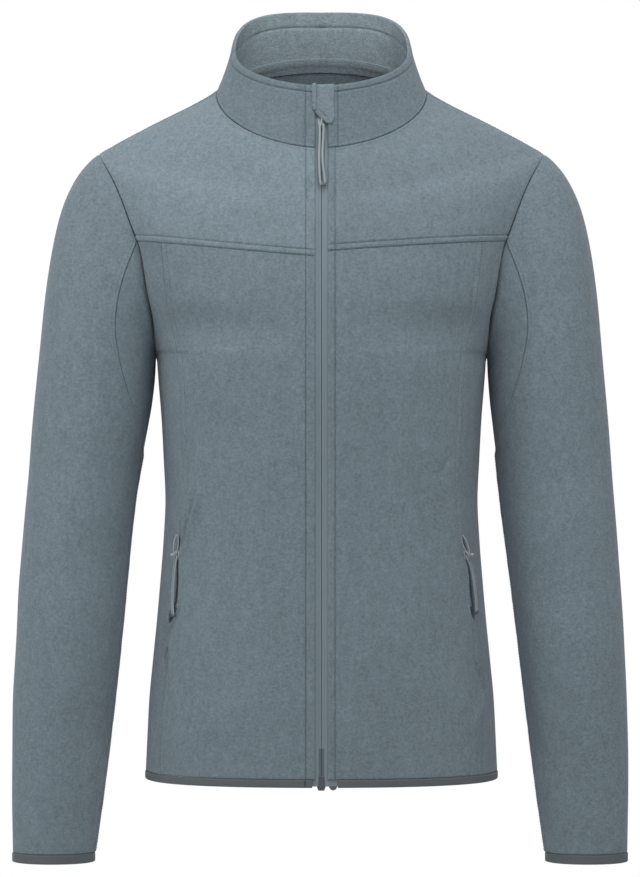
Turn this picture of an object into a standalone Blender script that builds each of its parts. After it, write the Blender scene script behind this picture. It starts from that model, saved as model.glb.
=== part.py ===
"""Fleece zip jacket, filled out as if worn, with nobody inside.

Metres, +Z up. The front faces -Y and +X is the wearer's left. The origin lies between
the wearer's shoulders, at the base of the neck.

The outer face of the body is a net of rows. A row starts at the centre front (or centre
back) and ends on the panel's outer edge, which climbs the side to the armpit, goes round the
armhole to the shoulder tip and on along the shoulder to the neck. It rises all the way, so a
row is named by the height of its outer end.
Sleeves and collar start on the same points, so every seam is shared by the pieces it joins.
Each piece is then a set of cells of the net, drawn back by half a seam gap and given a wall.
"""
from functools import lru_cache
from math import acos, cos, degrees, exp, pi, radians, sin

import bmesh
import bpy
from mathutils import Matrix, Vector

for old_object in list(bpy.data.objects):
    bpy.data.objects.remove(old_object, do_unlink=True)

# ------------------------------------------------------------------ driving sizes, metres

SEAM_GAP = 0.0003            # space left between neighbouring pieces
FLEECE = 0.0025              # wall of a single layer of fleece
COLLAR_CLOTH = 0.0035        # the collar is doubled and stitched flat
TAPE = 0.0008                # woven zip tape
COIL = 0.0018                # depth of the zip coil

HEM_Z = -0.668               # lower edge of the fleece, where the binding starts
ARMPIT_Z = -0.253
SHOULDER_TIP_Z = -0.055
NECK_SIDE_Z = 0.0057
SIDE_LINE_Y = 0.000          # the side line under the arm
SHOULDER_TIP_Y, NECK_SIDE_Y = -0.008, -0.010
ARMHOLE_FRONT, ARMHOLE_BACK = 0.055, 0.060
ARMHOLE_BACK_SPREAD = 0.006  # the back of the armhole lies this much further out

ZIP_SLOT = 0.0060            # half width of the slot in which the front zip shows
YOKE_SKEW = 0.0025           # the left yoke seam sits this much higher at the zip, the right lower

POCKET_TOP_Z, POCKET_BOTTOM_Z = -0.435, -0.586
POCKET_SLOT = 0.0034         # half width of the pocket's slot
POCKET_TAPE_REACH = 0.0085   # from the seam to each edge of the pocket's tape
POCKET_TAPE_END = 0.006      # the tape runs on above and below the opening
POCKET_SLIDER_Z = -0.4535

BINDING_HEIGHT, CUFF_BINDING_HEIGHT = 0.0080, 0.0095
BINDING_WALL, BINDING_PROUD = 0.0036, 0.0006

ZIP_FOOT_LIFT = 0.0034       # tapes and coils end this far above the hem, in the box
ZIP_END_Z = -0.679           # lower end of the zip's box and pin
TAPE_SPAN = (0.0012, 0.0165)  # a tape's edges, from the centre line
COIL_SPAN = (0.0002, 0.0024)
GARAGE_SPAN = (-0.0095, 0.0125)  # the garage's edges, from the centre line
GARAGE_DROP = (0.0265, 0.0385)   # how far each edge reaches down the front of the collar
GARAGE_CLOTH = 0.0015
LABEL_WIDTH, LABEL_CLOTH = 0.0092, 0.0006

SLIDER_HEIGHT = 0.42         # how far up the collar's front the zip slider stands, 0 to 1
SLIDER_HALF_SIZE = {"front": (0.0042, 0.0055), "pocket": (0.0028, 0.0045)}  # width, length
PULL_LENGTH, PULL_SPREAD, PULL_RADIUS = 0.0575, 0.0020, 0.0011
PULL_END_Z = -0.038          # the row on which the front pull's foot rests
SLIDER_PLATE = 0.0015        # thickness of a slider's plates
PULL_PIVOT_LIFT = 0.0014     # pull's axis over the slider's plate
BAIL_INSET, BAIL_BAR = 0.0013, 0.0008  # bail's feet from the plate's ends, and its thickness
BAIL_HALF_WIDTH = 0.0006

RIGHT, LEFT = -1, 1
SIDE_NAMES = {RIGHT: "right", LEFT: "left"}
HEM_BINDING_START = {RIGHT: 0.0090, LEFT: 0.0168}  # clear of the zip's box and pin end


# ------------------------------------------------------------------ tables of sizes

def smooth_slopes(keys, values):
    """Slopes for a curve through the values that never overshoots between two rows."""
    steps = [(values[i + 1] - values[i]) / (keys[i + 1] - keys[i]) for i in range(len(keys) - 1)]
    slopes = [steps[0]]
    for before, after in zip(steps, steps[1:]):
        slopes.append(0.0 if before * after <= 0 else 2 * before * after / (before + after))
    return slopes + [steps[-1]]


class Table:
    """Rows of sizes under named columns, read smoothly between rows by the first column."""

    def __init__(self, columns, rows):
        self.keys = [row[0] for row in rows]
        self.columns = {name: [row[i] for row in rows] for i, name in enumerate(columns)}
        self.slopes = {name: smooth_slopes(self.keys, values) for name, values in self.columns.items()}

    def at(self, key, name):
        key = min(max(key, self.keys[0]), self.keys[-1])
        low = max(i for i, start in enumerate(self.keys[:-1]) if start <= key)
        width = self.keys[low + 1] - self.keys[low]
        t = (key - self.keys[low]) / width
        value, slope = self.columns[name], self.slopes[name]
        return ((2 * t**3 - 3 * t**2 + 1) * value[low] + (t**3 - 2 * t**2 + t) * width * slope[low]
                + (3 * t**2 - 2 * t**3) * value[low + 1] + (t**3 - t**2) * width * slope[low + 1])


# Half width of the body at the side line, by height.
SIDE = Table(("z", "half_width"), (
    (-0.668, 0.1755), (-0.640, 0.1742), (-0.600, 0.1722), (-0.560, 0.1692), (-0.520, 0.1655),
    (-0.480, 0.1620), (-0.440, 0.1588), (-0.400, 0.1567), (-0.360, 0.1577), (-0.320, 0.1598),
    (-0.280, 0.1630), (-0.253, 0.1650)))

# How far out the armhole seam lies, by height.
ARMHOLE = Table(("z", "x"), (
    (-0.253, 0.1650), (-0.222, 0.1668), (-0.194, 0.1722), (-0.154, 0.1788), (-0.128, 0.1880),
    (-0.090, 0.2030), (-0.055, 0.2220)))

# The shoulder seam, from the shoulder tip up to the neck.
SHOULDER = Table(("z", "x"), (
    (-0.0550, 0.2220), (-0.0415, 0.1980), (-0.0220, 0.1600), (-0.0020, 0.1190), (0.0057, 0.1050)))

# The body's sections, by the height of the row's outer end. mid is the centre line, out the
# handle that leaves it sideways, arrive the handle that comes in to the outer end: its x and z
# are measured from that end, its y from the side line.
SECTION_COLUMNS = ("z", "mid_y", "mid_z", "out_x", "out_z", "arrive_x", "arrive_y", "arrive_z")
FRONT = Table(SECTION_COLUMNS, (
    (-0.6680, -0.1220, -0.6680, 0.106, 0.0000, 0.000, -0.0840, 0.0000),
    (-0.5435, -0.1170, -0.5435, 0.102, 0.0000, 0.000, -0.0800, 0.0000),
    (-0.4190, -0.1130, -0.4190, 0.096, 0.0000, 0.000, -0.0770, 0.0000),
    (-0.3360, -0.1180, -0.3360, 0.099, 0.0000, 0.000, -0.0800, 0.0000),
    (-0.2530, -0.1240, -0.2550, 0.104, 0.0000, 0.000, -0.0830, 0.0000),
    (-0.2475, -0.1240, -0.2495, 0.098, 0.0000, -0.008, -0.0885, 0.0000),
    (-0.2317, -0.1243, -0.2340, 0.093, 0.0003, -0.014, -0.0925, 0.0000),
    (-0.2000, -0.1245, -0.2045, 0.091, 0.0020, -0.019, -0.0950, -0.0010),
    (-0.1440, -0.1215, -0.1595, 0.098, 0.0075, -0.024, -0.0900, -0.0020),
    (-0.1000, -0.1175, -0.1270, 0.098, 0.0065, -0.028, -0.0780, -0.0040),
    (-0.0780, -0.1150, -0.1130, 0.093, 0.0055, -0.027, -0.0660, -0.0040),
    (-0.0550, -0.1120, -0.1010, 0.086, 0.0050, -0.018, -0.0400, -0.0030),
    (-0.0225, -0.1060, -0.0780, 0.073, 0.0045, -0.004, -0.0500, -0.0120),
    (0.0057, -0.0980, -0.0551, 0.062, 0.0031, 0.000, -0.0580, -0.0277)))
BACK = Table(SECTION_COLUMNS, (
    (-0.6680, 0.1120, -0.6680, 0.104, 0.0000, 0.000, 0.0780, 0.0000),
    (-0.5435, 0.1020, -0.5435, 0.100, 0.0000, 0.000, 0.0720, 0.0000),
    (-0.4190, 0.0900, -0.4190, 0.094, 0.0000, 0.000, 0.0660, 0.0000),
    (-0.3360, 0.0990, -0.3360, 0.098, 0.0000, 0.000, 0.0720, 0.0000),
    (-0.2530, 0.1110, -0.2520, 0.104, 0.0000, 0.000, 0.0780, 0.0000),
    (-0.2475, 0.1117, -0.2465, 0.098, 0.0000, -0.008, 0.0840, 0.0000),
    (-0.2317, 0.1137, -0.2290, 0.093, 0.0000, -0.014, 0.0890, 0.0000),
    (-0.2000, 0.1170, -0.1935, 0.092, 0.0000, -0.018, 0.0945, 0.0000),
    (-0.1440, 0.1190, -0.1300, 0.102, 0.0000, -0.023, 0.0970, 0.0000),
    (-0.1000, 0.1165, -0.0950, 0.103, 0.0000, -0.028, 0.0900, -0.0020),
    (-0.0780, 0.1130, -0.0730, 0.100, 0.0000, -0.027, 0.0760, -0.0020),
    (-0.0550, 0.1060, -0.0480, 0.092, 0.0000, -0.018, 0.0420, 0.0000),
    (-0.0225, 0.0880, -0.0030, 0.074, 0.0000, -0.003, 0.0380, 0.0020),
    (0.0057, 0.0660, 0.0430, 0.060, 0.0000, 0.000, 0.0340, 0.0143)))
BODY = {"front": FRONT, "back": BACK}

# Where the seams between front, side and back panels run, by height.
FRONT_SIDE_SEAM = Table(("z", "x"), (
    (-0.668, 0.1615), (-0.586, 0.1580), (-0.5375, 0.1530), (-0.4976, 0.1478), (-0.458, 0.1428),
    (-0.4284, 0.1365), (-0.3821, 0.1343), (-0.3331, 0.1366), (-0.2911, 0.1380), (-0.252, 0.1417),
    (-0.2027, 0.1515), (-0.150, 0.1570)))
BACK_SIDE_SEAM = Table(("z", "x"), (
    (-0.668, 0.1480), (-0.540, 0.1380), (-0.400, 0.1260), (-0.300, 0.1345), (-0.253, 0.1430),
    (-0.200, 0.1600), (-0.150, 0.1785)))

# Outer and inner outline of the sleeve, ring by ring from the armhole to the cuff, with the
# ring's centre and its reach to the front and back.
SLEEVE = Table(("ring", "outer_x", "outer_z", "inner_x", "inner_z", "mid_y", "front", "back"), (
    (0, 0.2220, -0.0550, 0.1650, -0.2530, -0.003, 0.056, 0.060),
    (0.3, 0.2290, -0.0602, 0.1651, -0.2555, -0.003, 0.057, 0.061),
    (1, 0.2455, -0.0800, 0.1654, -0.2620, -0.002, 0.058, 0.063),
    (2, 0.2600, -0.1120, 0.1660, -0.2730, -0.001, 0.060, 0.064),
    (3, 0.2695, -0.1520, 0.1672, -0.2860, 0.000, 0.061, 0.064),
    (4, 0.2765, -0.2000, 0.1692, -0.3030, -0.001, 0.061, 0.063),
    (5, 0.2815, -0.2500, 0.1722, -0.3260, -0.002, 0.060, 0.061),
    (6, 0.2870, -0.3050, 0.1765, -0.3600, -0.004, 0.058, 0.058),
    (7, 0.2922, -0.3620, 0.1810, -0.3960, -0.007, 0.056, 0.055),
    (8, 0.2980, -0.4400, 0.1870, -0.4500, -0.012, 0.054, 0.052),
    (9, 0.3025, -0.5200, 0.1945, -0.5200, -0.018, 0.051, 0.048),
    (10, 0.3062, -0.6000, 0.2035, -0.6000, -0.024, 0.046, 0.043),
    (11, 0.3073, -0.6780, 0.2132, -0.6780, -0.028, 0.040, 0.038),
    (12, 0.3062, -0.7485, 0.2235, -0.7485, -0.031, 0.034, 0.034)))
LAST_RING = 12
ARMHOLE_BLEND_RINGS = 3.0
LEFT_SLEEVE_LEAN = 0.0028    # the left sleeve's lower end hangs this much closer to the body

# Half angle of the gusset, seen from the middle of the sleeve, down to its tip.
GUSSET = Table(("ring", "half_angle"), (
    (0.0, 95.8), (1.0, 88.0), (2.0, 80.0), (3.0, 72.0), (4.0, 59.0), (5.0, 36.0), (5.6, 14.0)))
GUSSET_TIP_RING = 5.6
NET_BELOW_GUSSET = Table(("ring", "half_angle"), ((5.6, 14.0), (7.0, 50.0), (9.0, 80.0), (12.0, 86.0)))

# The collar's upper edge, as one quarter to the front and one to the back.
COLLAR_RIM = {
    "front": ((0, -0.087, 0.0068), (0.045, -0.087, 0.0095),
              (0.0885, -0.046, 0.0240), (0.0885, -0.008, 0.0500)),
    "back": ((0, 0.060, 0.0937), (0.062, 0.060, 0.0950),
             (0.0890, 0.036, 0.0870), (0.0885, -0.008, 0.0500)),
}

# Soft folds of the body: a line in the plane of the panel, its half width, and how far the
# cloth stands out (or sinks, below zero) along it.
FOLD_COLUMNS = ("x1", "z1", "x2", "z2", "half_width", "depth")
BODY_FOLDS = {
    "front": (
        (-0.136, -0.432, -0.112, -0.362, 0.013, 0.0032),
        (-0.108, -0.400, -0.085, -0.330, 0.018, -0.0016),
        (0.132, -0.425, 0.105, -0.352, 0.015, 0.0022),
        (0.150, -0.625, 0.100, -0.560, 0.020, 0.0026),
        (-0.145, -0.640, -0.085, -0.600, 0.022, 0.0022)),
    "back": (
        (-0.110, -0.395, -0.020, -0.415, 0.020, -0.0040),
        (0.120, -0.435, 0.030, -0.425, 0.020, -0.0036),
        (-0.100, -0.470, 0.040, -0.480, 0.022, 0.0030),
        (-0.105, -0.235, -0.050, -0.180, 0.026, -0.0022),
        (0.107, -0.245, 0.052, -0.190, 0.026, -0.0020)),
}

# Soft folds of a sleeve, along lines of angle (0 at the outer line, 180 under the arm,
# counted to the front, and negative to the back) and ring.
SLEEVE_FOLD_COLUMNS = ("angle1", "ring1", "angle2", "ring2", "half_width", "depth")
SLEEVE_FOLDS = {
    RIGHT: (
        (110, 6.5, 50, 7.1, 0.55, -0.0022), (150, 7.9, 90, 8.3, 0.45, -0.0024),
        (40, 8.6, 120, 9.4, 0.45, 0.0026), (150, 10.2, 60, 10.9, 0.40, -0.0022),
        (-150, 6.6, -60, 7.2, 0.50, -0.0034), (-140, 8.3, -60, 8.0, 0.40, -0.0026),
        (-120, 10.4, -40, 10.0, 0.45, 0.0024)),
    LEFT: (
        (115, 6.7, 60, 7.4, 0.55, -0.0022), (145, 8.3, 85, 8.6, 0.45, -0.0022),
        (50, 9.0, 125, 9.8, 0.45, 0.0024), (160, 10.6, 80, 11.2, 0.35, -0.0026),
        (-150, 6.4, -70, 7.1, 0.50, -0.0034), (-145, 8.0, -60, 8.2, 0.40, -0.0026),
        (-110, 10.2, -50, 10.6, 0.45, 0.0022)),
}

# The net: how many cells lie between the lines that carry seams.
SIDE_ROW_HEIGHTS = (-0.668, -0.640, -0.612, -0.586, -0.573, -0.540, -0.505, -0.470, -0.448, -0.435,
                    -0.400, -0.365, -0.330, -0.292, -0.253)
YOKE_Z = -0.144              # the yoke seam meets the armhole here
ARMHOLE_ROWS_BELOW_YOKE, ARMHOLE_ROWS_ABOVE_YOKE, SHOULDER_ROWS = 5, 6, 5
PANEL_COLUMNS = {"front": (6, 2), "back": (5, 2)}  # from the centre to the seam, and beyond it
COLLAR_ROWS = 4
SLEEVE_RINGS = (0, 0.45, 1, 1.6, 2.3, 3, 3.7, 4.4, 5, 5.6, 6.2, 6.8, 7.4, 8, 8.6, 9.2, 9.8, 10.4, 11.2, 12)


# ------------------------------------------------------------------ the outer faces

def mix(a, b, t):
    return a + (b - a) * t


def spaced(first, last, steps):
    """Evenly spaced values, both ends among them."""
    return [mix(first, last, i / steps) for i in range(steps + 1)]


def ease(t):
    """0 to 1 with soft ends."""
    t = min(max(t, 0.0), 1.0)
    return t * t * (3 - 2 * t)


def bezier(points, t):
    a, b, c, d = points
    rest = 1 - t
    return a * rest**3 + b * (3 * rest * rest * t) + c * (3 * rest * t * t) + d * t**3


def fold_push(folds, x, y):
    """Height of all the folds at one place. Each is a soft ridge or trough along a line."""
    push = 0.0
    for x1, y1, x2, y2, half_width, depth in folds:
        run = Vector((x2 - x1, y2 - y1))
        along = min(max((Vector((x - x1, y - y1)).dot(run)) / run.length_squared, 0.0), 1.0)
        away = (Vector((x1, y1)) + run * along - Vector((x, y))).length
        push += depth * exp(-(away / half_width) ** 2) * (0.35 + 0.65 * sin(pi * mix(0.12, 0.88, along)))
    return push


def armhole_point(half, turn):
    """Point of the armhole seam on the +X side: turn runs from 0 at the armpit to pi at the top."""
    rise = (1 - cos(turn)) / 2
    z = mix(ARMPIT_Z, SHOULDER_TIP_Z, rise)
    x, y = ARMHOLE.at(z, "x"), mix(SIDE_LINE_Y, SHOULDER_TIP_Y, rise)
    if half == "front":
        return Vector((x, y - ARMHOLE_FRONT * sin(turn), z))
    return Vector((x + ARMHOLE_BACK_SPREAD * sin(turn), y + ARMHOLE_BACK * sin(turn), z))


def armhole_turn(z):
    return acos(1 - 2 * (z - ARMPIT_Z) / (SHOULDER_TIP_Z - ARMPIT_Z))


def outer_end(half, z):
    """Outer end of the row at height z, on the +X side."""
    if z <= ARMPIT_Z:
        return Vector((SIDE.at(z, "half_width"), SIDE_LINE_Y, z))
    if z <= SHOULDER_TIP_Z:
        return armhole_point(half, armhole_turn(z))
    y = mix(SHOULDER_TIP_Y, NECK_SIDE_Y, (z - SHOULDER_TIP_Z) / (NECK_SIDE_Z - SHOULDER_TIP_Z))
    return Vector((SHOULDER.at(z, "x"), y, z))


@lru_cache(maxsize=None)
def section(side, half, z):
    """The four points that shape one row, on the +X side."""
    size = {name: BODY[half].at(z, name) for name in SECTION_COLUMNS}
    end = outer_end(half, z)
    middle = Vector((0, size["mid_y"], z if z <= ARMPIT_Z else size["mid_z"]))
    if half == "front":
        middle.z += side * YOKE_SKEW * exp(-((z - YOKE_Z) / 0.06) ** 2)
    leaving = Vector((size["out_x"], size["mid_y"], middle.z + size["out_z"]))
    arriving = Vector((end.x + size["arrive_x"], size["arrive_y"], z + size["arrive_z"]))
    return middle, leaving, arriving, end


def body_point(side, half, across, z):
    """Outer face of the body. across runs from 0 at the centre line to 1 at the row's end."""
    point = bezier(section(side, half, z), across)
    point.x *= side
    away_from_edges = ease((1 - across) / 0.22) * ease((NECK_SIDE_Z - z) / 0.03)
    push = fold_push(BODY_FOLDS[half], point.x, point.z) * away_from_edges
    return point + Vector((point.x, 1.6 * point.y, 0)).normalized() * push


def across_at(side, half, z, x_at_height):
    """Where a row crosses a line whose distance from the centre is x_at_height(z)."""
    low, high = 0.0, 1.0
    curve = section(side, half, z)
    for _ in range(40):
        middle = (low + high) / 2
        point = bezier(curve, middle)
        if point.x < x_at_height(point.z):
            low = middle
        else:
            high = middle
    return (low + high) / 2


@lru_cache(maxsize=None)
def seam_across(side, half, z):
    """Where a row crosses the seam of the side panel; above that seam, the net just runs on."""
    seam = FRONT_SIDE_SEAM if half == "front" else BACK_SIDE_SEAM
    at_seam = across_at(side, half, min(z, YOKE_Z), lambda height: seam.at(height, "x"))
    return mix(at_seam, 0.75, max(z - YOKE_Z, 0) / (NECK_SIDE_Z - YOKE_Z))


@lru_cache(maxsize=None)
def columns(side, half, z):
    """Places of the net's columns along one row, from the centre outwards."""
    start = across_at(side, half, z, lambda height: ZIP_SLOT) if half == "front" else 0.0
    seam = seam_across(side, half, z)
    middle, beside = PANEL_COLUMNS[half]
    return spaced(start, seam, middle)[:-1] + spaced(seam, 1, beside)


def rim_across(side, half, across):
    """The place on the collar's upper edge that stands over a place on the neck seam."""
    if half == "back":
        return across
    neck_start = across_at(side, half, NECK_SIDE_Z, lambda height: ZIP_SLOT)
    rim_start = ZIP_SLOT / (3 * COLLAR_RIM["front"][1][0])
    return rim_start + (across - neck_start) * (1 - rim_start) / (1 - neck_start)


def collar_point(side, half, across, height):
    """Outer face of the collar, from the neck seam (0) to the upper edge (1)."""
    neck = body_point(side, half, across, NECK_SIDE_Z)
    rim = bezier([Vector(p) for p in COLLAR_RIM[half]], rim_across(side, half, across))
    rim.x *= side
    hollow = -0.0012 * sin(pi * height)
    return neck.lerp(rim, height) + Vector((neck.x, neck.y, 0)).normalized() * hollow


def sleeve_point(side, angle, ring):
    """Outer face of a sleeve. angle: 0 outer line, 180 under the arm, negative to the back."""
    def ellipse(at_ring):
        size = {name: SLEEVE.at(at_ring, name) for name in SLEEVE.columns}
        lean = LEFT_SLEEVE_LEAN * ease((at_ring - 2) / 6) if side == LEFT else 0.0
        outer = Vector((size["outer_x"] - lean, size["mid_y"], size["outer_z"]))
        inner = Vector((size["inner_x"] - lean, size["mid_y"], size["inner_z"]))
        reach = -size["front"] if angle >= 0 else size["back"]
        centre = (outer + inner) / 2
        sideways = (outer - inner) / 2 * cos(radians(angle))
        return centre, centre + sideways + Vector((0, reach * sin(radians(abs(angle))), 0))
    half = "front" if angle >= 0 else "back"
    armhole = armhole_point(half, radians(180 - abs(angle)))
    centre, point = ellipse(ring)
    hold = 1 - ease(ring / ARMHOLE_BLEND_RINGS)
    point = point + (armhole - ellipse(0)[1]) * hold
    folds = [(a1 / 100, r1, a2 / 100, r2, w, d) for a1, r1, a2, r2, w, d in SLEEVE_FOLDS[side]]
    push = fold_push(folds, angle / 100, ring) * ease(ring / 3) * ease((12 - ring) / 1.5)
    push *= ease((180 - abs(angle)) / 25)
    point = point + (point - centre).normalized() * push
    point.x *= side
    return point


# ------------------------------------------------------------------ cells, seams and walls

PIECES = []                  # every cloth piece: name, faces, wall
SLOT_HALF_WIDTH = {}         # places on a seam where the two panels stand further apart


def place(point):
    """One key for all the points that lie together."""
    return tuple(round(value, 6) for value in point)


def cut(name, cells, wall, colour, welded=True):
    """Note a cloth piece. Each cell is four (key, point) pairs, in order seen from outside."""
    points, faces = {}, []
    for cell in cells:
        face = []
        for key, point in cell:
            key = place(point) if welded else key
            points.setdefault(key, Vector(point))
            face.append(key)
        faces.append(face)
    PIECES.append({"name": name, "points": points, "faces": faces, "wall": wall, "colour": colour})


def cells_of(surface, rows, cols, turned=False):
    """Cells of surface(row, col) for neighbouring rows and cols. Their order faces out."""
    for low, high in zip(rows, rows[1:]):
        for left, right in zip(cols, cols[1:]):
            corners = [(low, left), (low, right), (high, right), (high, left)]
            if turned:
                corners.reverse()
            yield [(corner, surface(*corner)) for corner in corners]


def face_normal(points):
    a, b, c, d = points
    return (c - a).cross(d - b).normalized()


def corner_normals(points):
    """A cell's normal at each of its corners, as long as the corner's angle is wide."""
    normal = face_normal(points)
    for before, corner, after in zip(points[-1:] + points[:-1], points, points[1:] + points[:1]):
        yield corner, normal * (before - corner).angle(after - corner, 0.0)


def sew():
    """Give every noted piece its seam gaps and its wall, and make it an object."""
    shared = {}
    for piece in PIECES:
        for face in piece["faces"]:
            for corner, normal in corner_normals([piece["points"][key] for key in face]):
                shared[place(corner)] = shared.get(place(corner), Vector()) + normal
    for piece in PIECES:
        make_solid(piece, shared)


def make_solid(piece, shared):
    points, faces = piece["points"], piece["faces"]
    own, open_edges = {}, {}
    for face in faces:
        corners = [points[key] for key in face]
        for key, (_, normal) in zip(face, corner_normals(corners)):
            own[key] = own.get(key, Vector()) + normal
        for key, following in zip(face, face[1:] + face[:1]):
            if (following, key) in open_edges:
                del open_edges[(following, key)]
            else:
                open_edges[(key, following)] = face_normal(corners)
    into, split = {}, {}
    for (start, end), normal in open_edges.items():
        run = (points[end] - points[start]).normalized()
        for key in (start, end):
            mean = shared[place(points[key])].normalized()
            into[key] = into.get(key, Vector()) + normal.cross(run).normalized()
            split[key] = split.get(key, Vector()) + mean.cross(run).normalized()

    outer, inner = {}, {}
    for key, point in points.items():
        normal = shared[place(point)].normalized()
        if key in into:
            back_off = SLOT_HALF_WIDTH.get(place(point), SEAM_GAP / 2)
            point = point + into[key] * (2 * back_off / max(into[key].dot(split[key]), 0.32))
        fit = min(2.2, 1 / max(normal.dot(own[key].normalized()), 0.45))
        outer[key], inner[key] = point, point - normal * (piece["wall"] * fit)

    mesh = bmesh.new()
    outside = {key: mesh.verts.new(outer[key]) for key in points}
    inside = {key: mesh.verts.new(inner[key]) for key in points}
    for face in faces:
        mesh.faces.new([outside[key] for key in face])
        mesh.faces.new([inside[key] for key in reversed(face)])
    for start, end in open_edges:
        # Both pieces at a seam split their walls along the same diagonal, so the gap stays even.
        if place(points[start]) < place(points[end]):
            mesh.faces.new([outside[end], outside[start], inside[end]])
            mesh.faces.new([outside[start], inside[start], inside[end]])
        else:
            mesh.faces.new([outside[end], outside[start], inside[start]])
            mesh.faces.new([outside[end], inside[start], inside[end]])
    finish(add_object(piece["name"], mesh), piece["colour"])


# ------------------------------------------------------------------ objects and materials

COLOURS = {                  # linear colour, roughness, metallic
    "fleece": ((0.165, 0.205, 0.230, 1), 0.95, 0.0),
    "binding": ((0.110, 0.125, 0.133, 1), 0.85, 0.0),
    "zip_tape": ((0.125, 0.155, 0.172, 1), 0.80, 0.0),
    "zip_plastic": ((0.105, 0.120, 0.130, 1), 0.45, 0.0),
    "slider": ((0.260, 0.280, 0.300, 1), 0.35, 1.0),
    "cord": ((0.230, 0.270, 0.290, 1), 0.60, 0.0),
    "label": ((0.010, 0.010, 0.011, 1), 0.80, 0.0),
}


def add_object(name, mesh, origin=None):
    data = bpy.data.meshes.new(name)
    mesh.to_mesh(data)
    mesh.free()
    data.shade_smooth()
    data.set_sharp_from_angle(angle=radians(40))
    made = bpy.data.objects.new(name, data)
    if origin is not None:
        made.matrix_world = origin
    bpy.context.scene.collection.objects.link(made)
    return made


def finish(made, colour):
    material = bpy.data.materials.new(made.name)
    material.use_nodes = True
    shader = material.node_tree.nodes["Principled BSDF"]
    base, roughness, metallic = COLOURS[colour]
    shader.inputs["Base Color"].default_value = base
    shader.inputs["Roughness"].default_value = roughness
    shader.inputs["Metallic"].default_value = metallic
    made.data.materials.append(material)


def block(low, high, bevel=0.0):
    """A closed box between two corners, with its edges eased."""
    mesh = bmesh.new()
    size = Vector(high) - Vector(low)
    shape = Matrix.Translation((Vector(high) + Vector(low)) / 2) @ Matrix.Diagonal((*size, 1))
    bmesh.ops.create_cube(mesh, size=1, matrix=shape)
    if bevel:
        bmesh.ops.bevel(mesh, geom=list(mesh.edges), offset=bevel, segments=1, affect="EDGES")
    return mesh


def strap(path, half_width, thickness):
    """A flat bar bent along a path in the YZ plane, its width along X."""
    mesh = bmesh.new()
    rings = []
    for i, point in enumerate(path):
        ahead = Vector(path[min(i + 1, len(path) - 1)]) - Vector(path[max(i - 1, 0)])
        up = Vector((0, -ahead[1], ahead[0])).normalized() * thickness / 2
        centre = Vector((0, point[0], point[1]))
        corners = ((-half_width, -1), (half_width, -1), (half_width, 1), (-half_width, 1))
        rings.append([mesh.verts.new(centre + Vector((x, 0, 0)) + up * sign) for x, sign in corners])
    for before, after in zip(rings, rings[1:]):
        for k in range(4):
            mesh.faces.new([before[k], before[(k + 1) % 4], after[(k + 1) % 4], after[k]])
    mesh.faces.new(list(reversed(rings[0])))
    mesh.faces.new(rings[-1])
    bmesh.ops.recalc_face_normals(mesh, faces=list(mesh.faces))
    return mesh


def unite(made, parts, origin):
    """Fuse closed shapes into the object; the shapes themselves stay hidden guides."""
    for number, mesh in enumerate(parts):
        guide = add_object(f"{made.name}_guide_{number}", mesh, origin)
        guide.hide_render = True
        guide.display_type = "WIRE"
        union = made.modifiers.new(f"union_{number}", "BOOLEAN")
        union.operation, union.solver, union.object = "UNION", "EXACT", guide


def frame_on(point, out, up):
    """Axes on a face: X across, Y up along it, Z out of it."""
    across = up.cross(out).normalized()
    up = out.cross(across).normalized()
    frame = Matrix((across, up, out)).transposed().to_4x4()
    frame.translation = point
    return frame


# ------------------------------------------------------------------ cloth pieces

def armhole_rows():
    """Turns round the armhole at which rows end, equal steps below and above the yoke seam."""
    yoke = armhole_turn(YOKE_Z)
    return spaced(0, yoke, ARMHOLE_ROWS_BELOW_YOKE)[1:] + spaced(yoke, pi, ARMHOLE_ROWS_ABOVE_YOKE)[1:]


ARMHOLE_HEIGHTS = [armhole_point("front", turn).z for turn in armhole_rows()]
SHOULDER_HEIGHTS = spaced(SHOULDER_TIP_Z, NECK_SIDE_Z, SHOULDER_ROWS)[1:]
ROW_HEIGHTS = list(SIDE_ROW_HEIGHTS) + ARMHOLE_HEIGHTS + SHOULDER_HEIGHTS
YOKE_ROW = len(SIDE_ROW_HEIGHTS) + ARMHOLE_ROWS_BELOW_YOKE - 1


def body_cells(side, half, rows, cols):
    """Cells of the body between numbered rows and columns of the net."""
    def surface(row, col):
        z = ROW_HEIGHTS[row]
        return body_point(side, half, columns(side, half, z)[col], z)
    return cells_of(surface, rows, cols, turned=(side == RIGHT) != (half == "back"))


def numbers(first, last):
    return list(range(first, last + 1))


def open_pocket_slots():
    """The two panels at a pocket stand apart, and show the zip between them."""
    for side in SIDE_NAMES:
        for z in SIDE_ROW_HEIGHTS:
            if POCKET_BOTTOM_Z < z < POCKET_TOP_Z:
                spot = body_point(side, "front", seam_across(side, "front", z), z)
                SLOT_HALF_WIDTH[place(spot)] = POCKET_SLOT


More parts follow.
